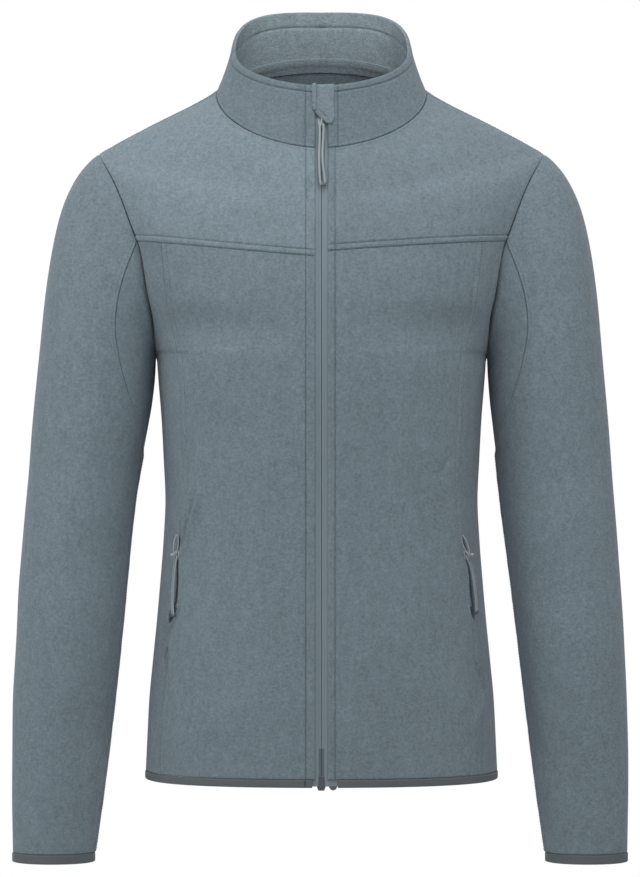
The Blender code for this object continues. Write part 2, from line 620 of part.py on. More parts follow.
def make_body():
    front_seam, back_seam = PANEL_COLUMNS["front"][0], PANEL_COLUMNS["back"][0]
    front_end, back_end = sum(PANEL_COLUMNS["front"]), sum(PANEL_COLUMNS["back"])
    lower, upper = numbers(0, YOKE_ROW), numbers(YOKE_ROW, len(ROW_HEIGHTS) - 1)
    back_cells, back_yoke_cells = [], []
    for side, name in SIDE_NAMES.items():
        front_panel = body_cells(side, "front", lower, numbers(0, front_seam))
        cut(f"front_panel_{name}", front_panel, FLEECE, "fleece")
        front_yoke = body_cells(side, "front", upper, numbers(0, front_end))
        cut(f"front_yoke_{name}", front_yoke, FLEECE, "fleece")
        side_panel = list(body_cells(side, "front", lower, numbers(front_seam, front_end)))
        side_panel += body_cells(side, "back", lower, numbers(back_seam, back_end))
        cut(f"side_panel_{name}", side_panel, FLEECE, "fleece")
        back_cells += body_cells(side, "back", lower, numbers(0, back_seam))
        back_yoke_cells += body_cells(side, "back", upper, numbers(0, back_end))
    cut("back_panel", back_cells, FLEECE, "fleece")
    cut("back_yoke", back_yoke_cells, FLEECE, "fleece")


def sleeve_angles(ring):
    """Angles of the sleeve's columns at one ring: under the arm, round the front, to the back."""
    if ring == 0:
        front = [180 - degrees(turn) for turn in [0.0] + armhole_rows()]
        return front + [-angle for angle in reversed(front[:-1])]
    widths = GUSSET if ring <= GUSSET_TIP_RING else NET_BELOW_GUSSET
    seam = 180 - widths.at(ring, "half_angle")
    front = spaced(180, seam, ARMHOLE_ROWS_BELOW_YOKE) + spaced(seam, 0, ARMHOLE_ROWS_ABOVE_YOKE)[1:]
    return front + [-angle for angle in reversed(front[:-1])]


def make_sleeves():
    rings = len(SLEEVE_RINGS) - 1
    tip = SLEEVE_RINGS.index(GUSSET_TIP_RING)
    half = len(ARMHOLE_HEIGHTS)
    seam = ARMHOLE_ROWS_BELOW_YOKE
    for side, name in SIDE_NAMES.items():
        def surface(row, col, side=side):
            ring = SLEEVE_RINGS[row]
            return sleeve_point(side, sleeve_angles(ring)[col % (2 * half + 1)], ring)
        turned = side == LEFT
        main = list(cells_of(surface, numbers(0, tip), numbers(seam, 2 * half - seam), turned))
        main += cells_of(surface, numbers(tip, rings), numbers(0, 2 * half), turned)
        cut(f"sleeve_{name}", main, FLEECE, "fleece", welded=False)
        gusset = list(cells_of(surface, numbers(0, tip), numbers(0, seam), turned))
        gusset += cells_of(surface, numbers(0, tip), numbers(2 * half - seam, 2 * half), turned)
        cut(f"sleeve_gusset_{name}", gusset, FLEECE, "fleece")

        def band(row, col, side=side):
            edge = sleeve_point(side, sleeve_angles(LAST_RING)[col], LAST_RING)
            middle = Vector((side * (SLEEVE.at(LAST_RING, "outer_x") + SLEEVE.at(LAST_RING, "inner_x")) / 2,
                             SLEEVE.at(LAST_RING, "mid_y"), edge.z))
            edge += (edge - middle).normalized() * BINDING_PROUD
            edge.z -= row * CUFF_BINDING_HEIGHT
            return edge
        cuff = cells_of(band, (0, 1), numbers(0, 2 * half), turned)
        cut(f"cuff_binding_{name}", cuff, BINDING_WALL, "binding")


def make_collar():
    heights = spaced(0, 1, COLLAR_ROWS)
    cells = []
    for side in SIDE_NAMES:
        for half in BODY:
            def surface(height, col, side=side, half=half):
                return collar_point(side, half, columns(side, half, NECK_SIDE_Z)[col], height)
            cols = range(len(columns(side, half, NECK_SIDE_Z)))
            cells += cells_of(surface, heights, cols, turned=(side == RIGHT) != (half == "back"))
    cut("collar", cells, COLLAR_CLOTH, "fleece")


def make_hem_binding():
    """One band round the hem, from one side of the zip to the other."""
    cells = []
    for side in SIDE_NAMES:
        for half in BODY:
            def band(row, col, side=side, half=half):
                across = columns(side, half, HEM_Z)[col]
                if half == "front" and col == 0:
                    across = across_at(side, half, HEM_Z, lambda height: HEM_BINDING_START[side])
                point = body_point(side, half, across, HEM_Z)
                out = Vector((point.x, 1.6 * point.y, 0)).normalized()
                return Vector((point.x, point.y, HEM_Z - row * BINDING_HEIGHT)) + out * BINDING_PROUD
            cols = range(len(columns(side, half, HEM_Z)))
            cells += cells_of(band, (0, 1), cols, turned=(side == LEFT) != (half == "back"))
    cut("hem_binding", cells, BINDING_WALL, "binding")


# ------------------------------------------------------------------ what lies on the panels

BODY_TOP = len(ROW_HEIGHTS) - 1
NET_TOP = BODY_TOP + COLLAR_ROWS
SLIDER_ROW = BODY_TOP + SLIDER_HEIGHT * COLLAR_ROWS


def row_at(z):
    """Row number, with its fraction, whose outer end is at height z."""
    low = max(i for i, height in enumerate(ROW_HEIGHTS[:-1]) if height <= z)
    return low + (z - ROW_HEIGHTS[low]) / (ROW_HEIGHTS[low + 1] - ROW_HEIGHTS[low])


@lru_cache(maxsize=None)
def net_point(side, half, row, col):
    """A point of the net; its rows run on from the body (up to the neck seam) into the collar."""
    if row <= BODY_TOP:
        z = ROW_HEIGHTS[row]
        return body_point(side, half, columns(side, half, z)[col], z)
    return collar_point(side, half, columns(side, half, NECK_SIDE_Z)[col], (row - BODY_TOP) / COLLAR_ROWS)


@lru_cache(maxsize=None)
def net_normal(side, half, row, col):
    """Direction out of the cloth at a point of the net."""
    last = len(columns(side, half, HEM_Z)) - 1
    along = net_point(side, half, row, min(col + 1, last)) - net_point(side, half, row, max(col - 1, 0))
    up = net_point(side, half, min(row + 1, NET_TOP), col) - net_point(side, half, max(row - 1, 0), col)
    normal = along.cross(up).normalized()
    return normal if (side == RIGHT) == (half == "back") else -normal


def on_net(side, half, row, col, depth):
    """A point on the flat cells of the net, sunk by depth below the cloth's inner face."""
    r, c = min(int(row), NET_TOP - 1), max(int(col), 0)
    point, normal, wall = Vector(), Vector(), 0.0
    for row_step in (0, 1):
        for col_step in (0, 1):
            across = 1 - (col - c) if col_step == 0 else col - c
            share = abs(1 - row_step - (row - r)) * across
            point += net_point(side, half, r + row_step, c + col_step) * share
            normal += net_normal(side, half, r + row_step, c + col_step) * share
            wall += share * (FLEECE if r + row_step < BODY_TOP else COLLAR_CLOTH)
    return point - normal.normalized() * (wall + depth)


def column_at(side, half, row, x):
    """Column number, with its fraction, at a distance from the centre line, near that line."""
    r = min(int(row), NET_TOP - 1)
    near, far = (net_point(side, half, r, c).lerp(net_point(side, half, r + 1, c), row - r) for c in (0, 1))
    return (x - abs(near.x)) / (abs(far.x) - abs(near.x))


def front_line(x, row, depth):
    """A point near the centre front, sunk by depth below the cloth's inner face."""
    side = LEFT if x >= 0 else RIGHT
    point = on_net(side, "front", row, column_at(side, "front", row, abs(x)), depth)
    point.x = x
    return point


# ------------------------------------------------------------------ zips, garage and label

def make_front_zip():
    """Two tapes behind the fronts, each with its coil behind, as on a zip turned inside out."""
    foot = row_at(HEM_Z + ZIP_FOOT_LIFT)
    tape_rows = [foot] + numbers(1, NET_TOP - 1) + [NET_TOP - 0.35]
    coil_rows = [foot] + numbers(1, BODY_TOP + 1) + [SLIDER_ROW - 0.05]
    for side, name in SIDE_NAMES.items():
        def strip(row, x, depth, side=side):
            return front_line(side * x, row, depth)
        tape = cells_of(lambda row, x: strip(row, x, SEAM_GAP), tape_rows, TAPE_SPAN, turned=side == RIGHT)
        cut(f"zip_tape_{name}", tape, TAPE, "zip_tape")
        behind_tape = SEAM_GAP + TAPE + SEAM_GAP
        coil = cells_of(lambda row, x: strip(row, x, behind_tape), coil_rows, COIL_SPAN, turned=side == RIGHT)
        cut(f"zip_coil_{name}", coil, COIL, "zip_plastic")


def make_slider(name, frame, half_width, half_length, with_back=False):
    """A slider on its tape: X across, Y up the zip, Z out. Its bail holds the pull.

    The front zip's slider also has a wedge between the tapes and a plate behind the coils.
    """
    front = SEAM_GAP + SLIDER_PLATE
    plate = block((-half_width, -half_length, SEAM_GAP), (half_width, half_length, front), 0.0004)
    leg = half_length - BAIL_INSET
    foot, shoulder, crown = front - 0.0004, front + 0.0025, front + 0.0036
    bail_path = ((-leg, foot), (-leg, shoulder), (-leg + 0.0012, crown),
                 (0.0, crown), (leg - 0.0012, shoulder), (leg, foot))
    parts = [strap(bail_path, BAIL_HALF_WIDTH, BAIL_BAR)]
    if with_back:
        behind = -(TAPE + SEAM_GAP + COIL + SEAM_GAP)
        parts.append(block((-0.0009, 0.0018, behind - 0.0005), (0.0009, 0.0050, front - 0.0005)))
        parts.append(block((-0.0036, -0.0050, behind - 0.0010), (0.0036, 0.0054, behind)))
    slider = add_object(name, plate, frame)
    unite(slider, parts, frame)
    finish(slider, "slider")


def make_pull(name, slider_frame, half_length, end):
    """A loop of cord through the slider's bail, lying towards the given end point."""
    lift = SEAM_GAP + SLIDER_PLATE + PULL_PIVOT_LIFT
    drop = half_length - BAIL_INSET - BAIL_BAR / 2 - SEAM_GAP - PULL_RADIUS - 0.0001
    pivot = slider_frame @ Vector((0, -drop, lift))
    across = slider_frame.to_3x3() @ Vector((1, 0, 0))
    down = (end - pivot).normalized()
    out = down.cross(across).normalized()
    if out.dot(slider_frame.to_3x3() @ Vector((0, 0, 1))) < 0:
        out = -out
    frame = frame_on(pivot, out, -down)
    curve = bpy.data.curves.new(name, "CURVE")
    curve.dimensions = "3D"
    curve.bevel_depth = PULL_RADIUS
    curve.bevel_resolution = 1
    loop = [(-PULL_SPREAD * 0.55, 0.0), (PULL_SPREAD * 0.55, 0.0)]
    strand = [(PULL_SPREAD, 0.0012), (PULL_SPREAD * 1.05, 0.015), (PULL_SPREAD * 1.1, 0.035),
              (PULL_SPREAD * 1.1, PULL_LENGTH - 0.0025)]
    foot = [(PULL_SPREAD * 0.6, PULL_LENGTH - 0.0006)]
    right_half = strand + foot
    left_half = [(-x, y) for x, y in reversed(right_half)]
    route = loop + right_half + left_half
    spline = curve.splines.new("POLY")
    spline.points.add(len(route) - 1)
    for point, (x, y) in zip(spline.points, route):
        point.co = (x, -y, 0, 1)
    spline.use_cyclic_u = True
    pull = bpy.data.objects.new(name, curve)
    pull.matrix_world = frame
    bpy.context.scene.collection.objects.link(pull)
    finish(pull, "cord")


def make_main_slider():
    seat = front_line(0.0, SLIDER_ROW, SEAM_GAP)
    up = (front_line(0.0, SLIDER_ROW + 0.4, SEAM_GAP) - seat).normalized()
    out = Vector((0, -up.z, up.y)).normalized()
    frame = frame_on(seat, out, up)
    half_width, half_length = SLIDER_HALF_SIZE["front"]
    make_slider("zip_slider", frame, half_width, half_length, with_back=True)
    make_pull("zip_pull", frame, half_length, front_line(0.0, row_at(PULL_END_Z), -FLEECE - 0.0012))


def make_garage():
    """A fleece flap over the top of the zip, folded across the collar's edge to the inside."""
    off = SEAM_GAP + GARAGE_CLOTH
    stack = COLLAR_CLOTH + SEAM_GAP + TAPE
    inside_rows = (NET_TOP - 0.5, NET_TOP - 1)
    outside_rows, arc_rows, steps = 4, 5, 4

    def surface(row, col):
        x, drop = (mix(low, high, col / steps) for low, high in (GARAGE_SPAN, GARAGE_DROP))
        rim = front_line(x, NET_TOP, -COLLAR_CLOTH)
        down = front_line(x, NET_TOP - 1, -COLLAR_CLOTH) - rim
        out = (rim - front_line(x, NET_TOP, 0)).normalized()
        if row < outside_rows:
            below_rim = drop * (1 - row / outside_rows) / down.length
            return front_line(x, NET_TOP - below_rim, -COLLAR_CLOTH - off)
        if row < outside_rows + arc_rows:
            turn = pi * (row - outside_rows) / (arc_rows - 1)
            radius = stack / 2 + off
            return rim - out * (stack / 2 - radius * cos(turn)) - down.normalized() * radius * sin(turn)
        return front_line(x, inside_rows[row - outside_rows - arc_rows], SEAM_GAP + TAPE + off)
    rows = numbers(0, outside_rows + arc_rows + len(inside_rows) - 1)
    cut("zip_garage", cells_of(surface, rows, numbers(0, steps)), GARAGE_CLOTH, "fleece")


def make_zip_ends():
    """The retainer box at the zip's foot, and the covered end of the pin beside it."""
    face = front_line(0.0, 0, -FLEECE).y
    box = block((-0.0047, face - 0.0004, ZIP_END_Z), (0.0042, face + 0.0040, HEM_Z + 0.0034), 0.0007)
    finish(add_object("zip_box", box), "zip_plastic")
    pin = block((0.0069, face - 0.0004, ZIP_END_Z), (0.0154, face + 0.0026, HEM_Z - 0.0004), 0.0008)
    finish(add_object("zip_pin_end", pin), "zip_plastic")


def make_pockets():
    tape_depth = SEAM_GAP + 0.0002
    seam = PANEL_COLUMNS["front"][0]
    open_rows = [z for z in SIDE_ROW_HEIGHTS if POCKET_BOTTOM_Z <= z <= POCKET_TOP_Z]
    heights = [POCKET_BOTTOM_Z - POCKET_TAPE_END] + open_rows + [POCKET_TOP_Z + POCKET_TAPE_END]
    for side, name in SIDE_NAMES.items():
        def seam_place(z, shift, depth, side=side):
            row = row_at(z)
            beside = seam + (1 if shift > 0 else -1)
            width = (net_point(side, "front", int(row), beside)
                     - net_point(side, "front", int(row), seam)).length
            return on_net(side, "front", row, seam + shift / width, depth)
        tape = cells_of(lambda z, shift, put=seam_place: put(z, shift, tape_depth), heights,
                        (-POCKET_TAPE_REACH, 0.0, POCKET_TAPE_REACH), turned=side == RIGHT)
        cut(f"pocket_zip_{name}", tape, TAPE, "zip_tape")
        z = POCKET_SLIDER_Z
        seat = seam_place(z, 0.0, tape_depth)
        up = seam_place(z + 0.005, 0.0, tape_depth) - seam_place(z - 0.005, 0.0, tape_depth)
        out = seam_place(z, 0.0, -FLEECE) - seat
        frame = frame_on(seat, out.normalized(), up.normalized())
        half_width, half_length = SLIDER_HALF_SIZE["pocket"]
        make_slider(f"pocket_slider_{name}", frame, half_width, half_length)
        pull_end = seam_place(z - PULL_LENGTH, 0.0, -FLEECE - 0.0016)
        make_pull(f"pocket_pull_{name}", frame, half_length, pull_end)


def make_label():
    """A small plain label inside the back, a little below the neck seam."""
    def surface(row, x):
        return on_net(LEFT, "back", row, column_at(LEFT, "back", row, x), SEAM_GAP)
    label = cells_of(surface, (BODY_TOP - 2, BODY_TOP - 1), (0.0005, 0.0005 + LABEL_WIDTH), turned=True)
    cut("neck_label", label, LABEL_CLOTH, "label")


open_pocket_slots()
make_body()
make_sleeves()
make_collar()
make_hem_binding()
make_front_zip()
make_garage()
make_label()
make_pockets()
make_main_slider()
make_zip_ends()
sew()
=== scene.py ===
# %% [markdown]
# # A micro-fleece zip jacket
#
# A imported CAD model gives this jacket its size, its pieces and its swinging zip pulls. This
# lesson dresses it. Each panel of cloth is made again as a fine sheet with rolled edges, rows
# of stitches and soft folds, and each hard part gets its own finish. The CAD model stays in
# place underneath, as the frame that every piece rides on.

from math import cos, pi, radians, sin

import bmesh
import bpy
import numpy as np
from mathutils import Matrix, Vector
from mathutils.bvhtree import BVHTree
from mathutils.kdtree import KDTree


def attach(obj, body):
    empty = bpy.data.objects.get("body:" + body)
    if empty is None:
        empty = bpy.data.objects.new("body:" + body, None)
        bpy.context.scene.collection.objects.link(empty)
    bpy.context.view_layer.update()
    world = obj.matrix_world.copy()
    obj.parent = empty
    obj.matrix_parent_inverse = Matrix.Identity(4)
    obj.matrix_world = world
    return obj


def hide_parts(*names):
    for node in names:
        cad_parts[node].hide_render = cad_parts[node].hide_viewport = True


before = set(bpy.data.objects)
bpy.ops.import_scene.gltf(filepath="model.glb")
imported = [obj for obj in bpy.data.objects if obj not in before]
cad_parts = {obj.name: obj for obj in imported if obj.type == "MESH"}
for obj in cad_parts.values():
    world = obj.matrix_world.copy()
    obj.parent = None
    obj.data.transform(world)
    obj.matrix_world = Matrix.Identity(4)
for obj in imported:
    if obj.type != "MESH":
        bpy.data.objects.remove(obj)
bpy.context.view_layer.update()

# %% [markdown]
# ## The camera
# The jacket hangs as if worn, and is seen straight from the front at chest height. A long lens
# four metres away keeps the sleeves and the collar in true proportion, as a catalogue does.

# %% Camera
CAMERA_PLACE = (-0.0015, -4.0, -0.3385)
LENS_MM, SENSOR_MM = 164.2, 36.0

camera_lens = bpy.data.cameras.new("catalogue_lens")
camera_lens.lens = LENS_MM
camera_lens.sensor_width = SENSOR_MM
camera_lens.clip_end = 20.0
camera = bpy.data.objects.new("catalogue_camera", camera_lens)
camera.location = CAMERA_PLACE
camera.rotation_euler = (radians(90), 0, 0)
bpy.context.scene.collection.objects.link(camera)
bpy.context.scene.camera = camera
print("camera", tuple(camera.location), "lens", LENS_MM, "mm")

# %% [markdown]
# ## Colours
# Colours are picked as sRGB hex values, the way a dyer's chart gives them. Blender's shaders
# work in linear light, so one function turns each of them over.

# %% Colour helper
def linear(hex_colour):
    """An sRGB hex colour as linear red, green, blue and a full alpha."""
    channels = [int(hex_colour[i:i + 2], 16) / 255 for i in (1, 3, 5)]
    return [c / 12.92 if c <= 0.04045 else ((c + 0.055) / 1.055) ** 2.4 for c in channels] + [1.0]


print("slate blue-grey", [round(c, 3) for c in linear("#76848c")[:3]])

# %% [markdown]
# ## Building materials
# A material is a small tree of nodes. One function adds any node with its settings and its
# links. Every material here is built the same way: layers of noise make its colour lighter and
# darker, and a finer noise is its relief. Pattern sizes are real ones: a noise whose marks
# should be 1.3 mm across needs a scale of one over 0.0013.

# %% Node helper
def add_node(tree, kind, settings=(), links=()):
    """Add a node, set its fields or input values, and feed its inputs from other outputs."""
    node = tree.nodes.new(kind)
    for name, value in dict(settings).items():
        if isinstance(name, int) or name in node.inputs:
            node.inputs[name].default_value = value
        else:
            setattr(node, name, value)
    for name, source in dict(links).items():
        tree.links.new(source, node.inputs[name])
    return node


def surface_material(name, colour, layers, grain, **shader_values):
    """One Principled shader. layers: (mark size in metres, share, squash along Z) of each noise
    in its lightness. grain: (mark size in metres, detail, depth in metres) of its relief."""
    material = bpy.data.materials.new(name)
    material.use_nodes = True
    tree = material.node_tree
    shader = tree.nodes["Principled BSDF"]
    for socket, value in shader_values.items():
        shader.inputs[socket.replace("_", " ").title().replace("Ior", "IOR")].default_value = value
    place = add_node(tree, "ShaderNodeTexCoord").outputs["Object"]
    lightness = None
    for size, share, squash in layers:
        mapped = add_node(tree, "ShaderNodeMapping",
                          {"Scale": (1 / size, 1 / size, squash / size)}, {"Vector": place})
        marks = add_node(tree, "ShaderNodeTexNoise", {"Scale": 1.0, "Detail": 2.0},
                         {"Vector": mapped.outputs["Vector"]})
        before = {} if lightness is None else {2: lightness.outputs[0]}
        lightness = add_node(tree, "ShaderNodeMath",
                             {"operation": "MULTIPLY_ADD", 1: 2 * share,
                              2: 1 - sum(each_share for _, each_share, _ in layers)},
                             {0: marks.outputs["Fac"], **before})
    tinted = add_node(tree, "ShaderNodeHueSaturation", {"Color": linear(colour)},
                      {"Value": lightness.outputs[0]})
    size, detail, depth = grain
    relief = add_node(tree, "ShaderNodeTexNoise", {"Scale": 1 / size, "Detail": detail},
                      {"Vector": place})
    bump = add_node(tree, "ShaderNodeBump", {"Strength": 1.0, "Distance": depth},
                    {"Height": relief.outputs["Fac"]})
    tree.links.new(tinted.outputs["Color"], shader.inputs["Base Color"])
    tree.links.new(bump.outputs["Normal"], shader.inputs["Normal"])
    return material


# %% [markdown]
# ## Fleece
# The cloth is polyester micro-fleece: a fine knit whose loops are brushed up, shorn and tumbled
# until they curl into tiny pebbles. It has no shine, only the soft bloom that fibres give where
# the surface turns away, so the shader is rough with some sheen. Its pebbles are a relief of
# 1.2 mm. The speckle of light and dark is drawn at 2.6 mm, about twice as coarse as real, so
# that it still shows, and long faint marks show how the cloth was brushed.

# %% Fleece material
FLEECE_COLOUR = "#76848c"
FLEECE_MARKS = ((0.0026, 0.36, 1.0), (0.0065, 0.16, 0.4), (0.0500, 0.06, 0.6))
FLEECE_PEBBLES = (0.0012, 3.0, 0.0009)


def fleece_material(name, colour):
    return surface_material(name, colour, FLEECE_MARKS, FLEECE_PEBBLES, roughness=0.95,
                            sheen_weight=0.12, sheen_roughness=0.45, specular_ior_level=0.15)


def toned(hex_colour, share):
    """The same colour, lighter or darker by a share of its sRGB values."""
    return "#" + "".join(f"{round(int(hex_colour[i:i + 2], 16) * share):02x}" for i in (1, 3, 5))


fleece = fleece_material("brushed_micro_fleece", FLEECE_COLOUR)
# A lighter copy, painted light: it makes the right front yoke brighter, as if the lamp fell on it
# from the upper left.
painted_light_fleece = fleece_material("micro_fleece_painted_light", toned(FLEECE_COLOUR, 1.045))
# A darker copy, painted shade: it makes the collar's outside darker, as if turned away from the
# light above.
painted_shade_fleece = fleece_material("micro_fleece_painted_shade", toned(FLEECE_COLOUR, 0.935))
# A lighter copy, painted light: it brightens the collar's inside and the neck tape, where the lamps
# reach too little.
painted_light_facing = fleece_material("micro_fleece_facing_painted_light", "#86949b")
print("made", fleece.name, painted_light_fleece.name, painted_shade_fleece.name, painted_light_facing.name)

# %% [markdown]
# ## Binding, tape, thread and the rest
# Hem and cuffs are bound with a folded elastic knit, darker and flatter than the fleece. Zip
# tape is a plain woven polyester. The coil is nylon monofilament, the slider is cast zinc under
# a satin lacquer, its box is moulded acetal, and the pulls are round braided cord, whose smooth
# filaments catch more light than anything else on the jacket.

# %% Trim materials
def woven_material(name, colour, roughness, pitch, depth):
    """A fine even cloth: threads at a pitch in metres, seen as light and dark and as relief."""
    return surface_material(name, colour, ((pitch * 1.5, 0.10, 1.0), (0.02, 0.05, 1.0)),
                            (pitch, 1.0, depth), roughness=roughness, specular_ior_level=0.3,
                            sheen_weight=0.1)


def smooth_material(name, colour, roughness, **shader_values):
    """A hard part: nearly even colour, with a fine grain from its mould or its lacquer."""
    return surface_material(name, colour, ((0.0024, 0.05, 1.0), (0.01, 0.03, 1.0)),
                            (0.0006, 2.0, 0.00004), roughness=roughness, **shader_values)


binding = woven_material("elastic_knit_binding", "#5f6669", 0.85, 0.0008, 0.0003)
tape = woven_material("woven_zip_tape", "#7d8a92", 0.80, 0.0006, 0.0002)
thread = woven_material("polyester_thread", "#88949b", 0.60, 0.0004, 0.0001)
cord = woven_material("braided_polyester_cord", "#8f9ba1", 0.50, 0.0007, 0.0004)
coil_nylon = smooth_material("nylon_monofilament", "#59646a", 0.40)
acetal = smooth_material("moulded_acetal", "#535c63", 0.42)
lacquered_zinc = smooth_material("lacquered_cast_zinc", "#9aa4a9", 0.40, metallic=0.25,
                                 coat_weight=0.2)
# The film's dark colour is painted shade, the shadow at the foot of the zip.
painted_shade_film = smooth_material("welded_polyurethane_film", "#5c6a71", 0.45)
label_cloth = woven_material("woven_label_polyester", "#16171a", 0.75, 0.0005, 0.0001)
print("made", len([m for m in bpy.data.materials if m.users == 0]), "materials")

# %% [markdown]
# ## Sizes shared with the frame
# The panels have to lie on the same surfaces as the CAD solids, so the sizes that shape those
# surfaces are given again: tables of named columns, read smoothly between their rows.

# %% Driving sizes
MM = 0.001
FLEECE_WALL = 0.0025         # one layer of fleece
COLLAR_WALL = 0.0035         # the collar is doubled and stitched flat
TAPE_WALL = 0.0008
CLEARANCE = 0.0003           # between a panel and what lies on or under it

HEM_Z = -0.6695
ARMPIT_Z = -0.253
YOKE_Z = -0.144
SHOULDER_TIP_Z = -0.055
NECK_SIDE_Z = 0.0057
SIDE_LINE_Y = 0.000
SHOULDER_TIP_Y, NECK_SIDE_Y = -0.008, -0.010
ARMHOLE_FRONT, ARMHOLE_BACK, ARMHOLE_BACK_SPREAD = 0.055, 0.060, 0.006
ZIP_SLOT = 0.0060            # half the gap between the fronts, filled by the zip
YOKE_SKEW, YOKE_SKEW_REACH = 0.0025, 0.06
BINDING_HEIGHT, CUFF_BINDING_HEIGHT = 0.0080, 0.0095
BINDING_WALL, BINDING_PROUD = 0.0036, 0.0006
RIGHT, LEFT = -1, 1
SIDE_NAMES = {RIGHT: "right", LEFT: "left"}


# %% Tables of sizes
class Table:
    """Rows of sizes under named columns, read smoothly between rows by the first column."""

    def __init__(self, columns, rows):
        values = np.array(rows, float)
        self.keys = values[:, 0]
        steps = np.diff(values, axis=0) / np.diff(self.keys)[:, None]
        slopes = np.empty_like(values)
        slopes[0], slopes[-1] = steps[0], steps[-1]
        same_way = steps[:-1] * steps[1:] > 0
        sums = np.where(same_way, steps[:-1] + steps[1:], 1)
        slopes[1:-1] = np.where(same_way, 2 * steps[:-1] * steps[1:] / sums, 0)
        self.values = dict(zip(columns, values.T))
        self.slopes = dict(zip(columns, slopes.T))

    def at(self, key, name):
        key = np.clip(key, self.keys[0], self.keys[-1])
        low = np.clip(np.searchsorted(self.keys, key, side="right") - 1, 0, len(self.keys) - 2)
        width = self.keys[low + 1] - self.keys[low]
        t = (key - self.keys[low]) / width
        value, slope = self.values[name], self.slopes[name]
        return ((2 * t**3 - 3 * t**2 + 1) * value[low]
                + (t**3 - 2 * t**2 + t) * width * slope[low]
                + (3 * t**2 - 2 * t**3) * value[low + 1]
                + (t**3 - t**2) * width * slope[low + 1])


def mm(rows, first=1000):
    """Rows of millimetres as metres. first is 1 where the first column isn't a length."""
    values = np.array(rows, float)
    return values / ([first] + [1000] * (values.shape[1] - 1))


SIDE = Table(("z", "half_width"), mm((
    (-668, 175.5), (-640, 174.2), (-600, 172.2), (-560, 168.5), (-520, 164.5), (-480, 161),
    (-440, 157.9), (-400, 156), (-360, 157.7), (-320, 159.8), (-280, 163), (-253, 165))))
ARMHOLE = Table(("z", "x"), mm((
    (-253, 165), (-222, 166.8), (-194, 172.2), (-154, 178.8), (-128, 188), (-90, 203),
    (-55, 222))))
SHOULDER = Table(("z", "x"), mm((
    (-55, 222), (-41.5, 198), (-22, 160), (-2, 119), (5.7, 105))))
SECTION_COLUMNS = ("z", "mid_y", "mid_z", "out_x", "out_z", "arrive_x", "arrive_y", "arrive_z")
BODY = {
    "front": Table(SECTION_COLUMNS, mm((
        (-668, -122, -668, 106, 0, 0, -84, 0),
        (-543.5, -117, -543.5, 102, 0, 0, -80, 0),
        (-419, -113, -419, 96, 0, 0, -77, 0),
        (-336, -118, -336, 99, 0, 0, -80, 0),
        (-278, -122.8, -279.5, 102.8, 0, 0, -82.4, 0),
        (-253, -124, -255, 101.2, 0, -3, -83.5, 0),
        (-247.5, -124, -249.5, 99.5, 0, -4.5, -76.8, 0),
        (-231.7, -124.3, -234, 95, 0.3, -10, -74.5, 0),
        (-200, -124.5, -204.5, 91, 2, -19, -95, -1),
        (-144, -121.5, -159.5, 98, 7.5, -24, -90, -2),
        (-100, -117.5, -127, 98, 6.5, -28, -78, -4),
        (-78, -115, -113, 93, 5.5, -27, -66, -4),
        (-55, -112, -101, 86, 5, -18, -40, -3),
        (-22.5, -106, -78, 73, 4.5, -4, -50, -12),
        (5.7, -98, -55.1, 62, 3.1, 0, -58, -27.7)))),
    "back": Table(SECTION_COLUMNS, mm((
        (-668, 112, -668, 104, 0, 0, 78, 0),
        (-543.5, 102, -543.5, 100, 0, 0, 72, 0),
        (-419, 90, -419, 94, 0, 0, 66, 0),
        (-336, 99, -336, 98, 0, 0, 72, 0),
        (-278, 108.8, -277.5, 102.8, 0, 0, 76.8, 0),
        (-253, 111, -252, 101.2, 0, -3, 78.5, 0),
        (-247.5, 111.7, -246.5, 99.5, 0, -4.5, 72.8, 0),
        (-231.7, 113.7, -229, 95, 0, -10, 70, 0),
        (-200, 117, -193.5, 92, 0, -18, 94.5, 0),
        (-144, 119, -130, 102, 0, -23, 97, 0),
        (-100, 116.5, -95, 103, 0, -28, 90, -2),
        (-78, 113, -73, 100, 0, -27, 76, -2),
        (-55, 106, -48, 92, 0, -18, 42, 0),
        (-22.5, 88, -3, 74, 0, -3, 38, 2),
        (5.7, 66, 43, 60, 0, 0, 34, 14.3))))}
SIDE_SEAMS = {
    "front": Table(("z", "x"), mm((
        (-668, 161.5), (-586, 158), (-537.5, 153), (-497.6, 147.8), (-458, 142.8),
        (-428.4, 136.5), (-382.1, 134.3), (-333.1, 136.6), (-291.1, 138), (-252, 141.7),
        (-202.7, 151.5), (-150, 157)))),
    "back": Table(("z", "x"), mm((
        (-668, 148), (-540, 138), (-400, 126), (-300, 134.5), (-253, 143), (-200, 160),
        (-150, 178.5))))}
SLEEVE_COLUMNS = ("ring", "outer_x", "outer_z", "inner_x", "inner_z", "mid_y", "front", "back")
SLEEVE = Table(SLEEVE_COLUMNS, mm((
    (0, 222, -55, 165, -253, -3, 56, 60),
    (0.3, 229, -60.2, 165.1, -255.5, -3, 57, 61),
    (1, 245.5, -80, 165.4, -262, -2, 58, 63),
    (2, 260, -112, 166, -273, -1, 60, 64),
    (3, 269.5, -152, 167.2, -286, 0, 61, 64),
    (4, 276.5, -200, 169.2, -303, -1, 61, 63),
    (5, 281.5, -250, 172.8, -326, -2, 60, 61),
    (6, 287, -305, 178.2, -360, -4, 58, 58),
    (7, 292.2, -362, 183.2, -396, -7, 56, 55),
    (8, 298, -440, 189.7, -450, -12, 54, 52),
    (9, 302.5, -520, 197.3, -520, -18, 51, 48),
    (10, 306.2, -600, 206.1, -600, -24, 46, 43),
    (11, 307.3, -678, 215.5, -678, -28, 40, 38),
    (12, 306.2, -748.5, 225.2, -748.5, -31, 34, 34)), first=1))
LAST_RING = 12.0
ARMHOLE_BLEND_RINGS = 3.0
LEFT_SLEEVE_LEAN = 0.0028
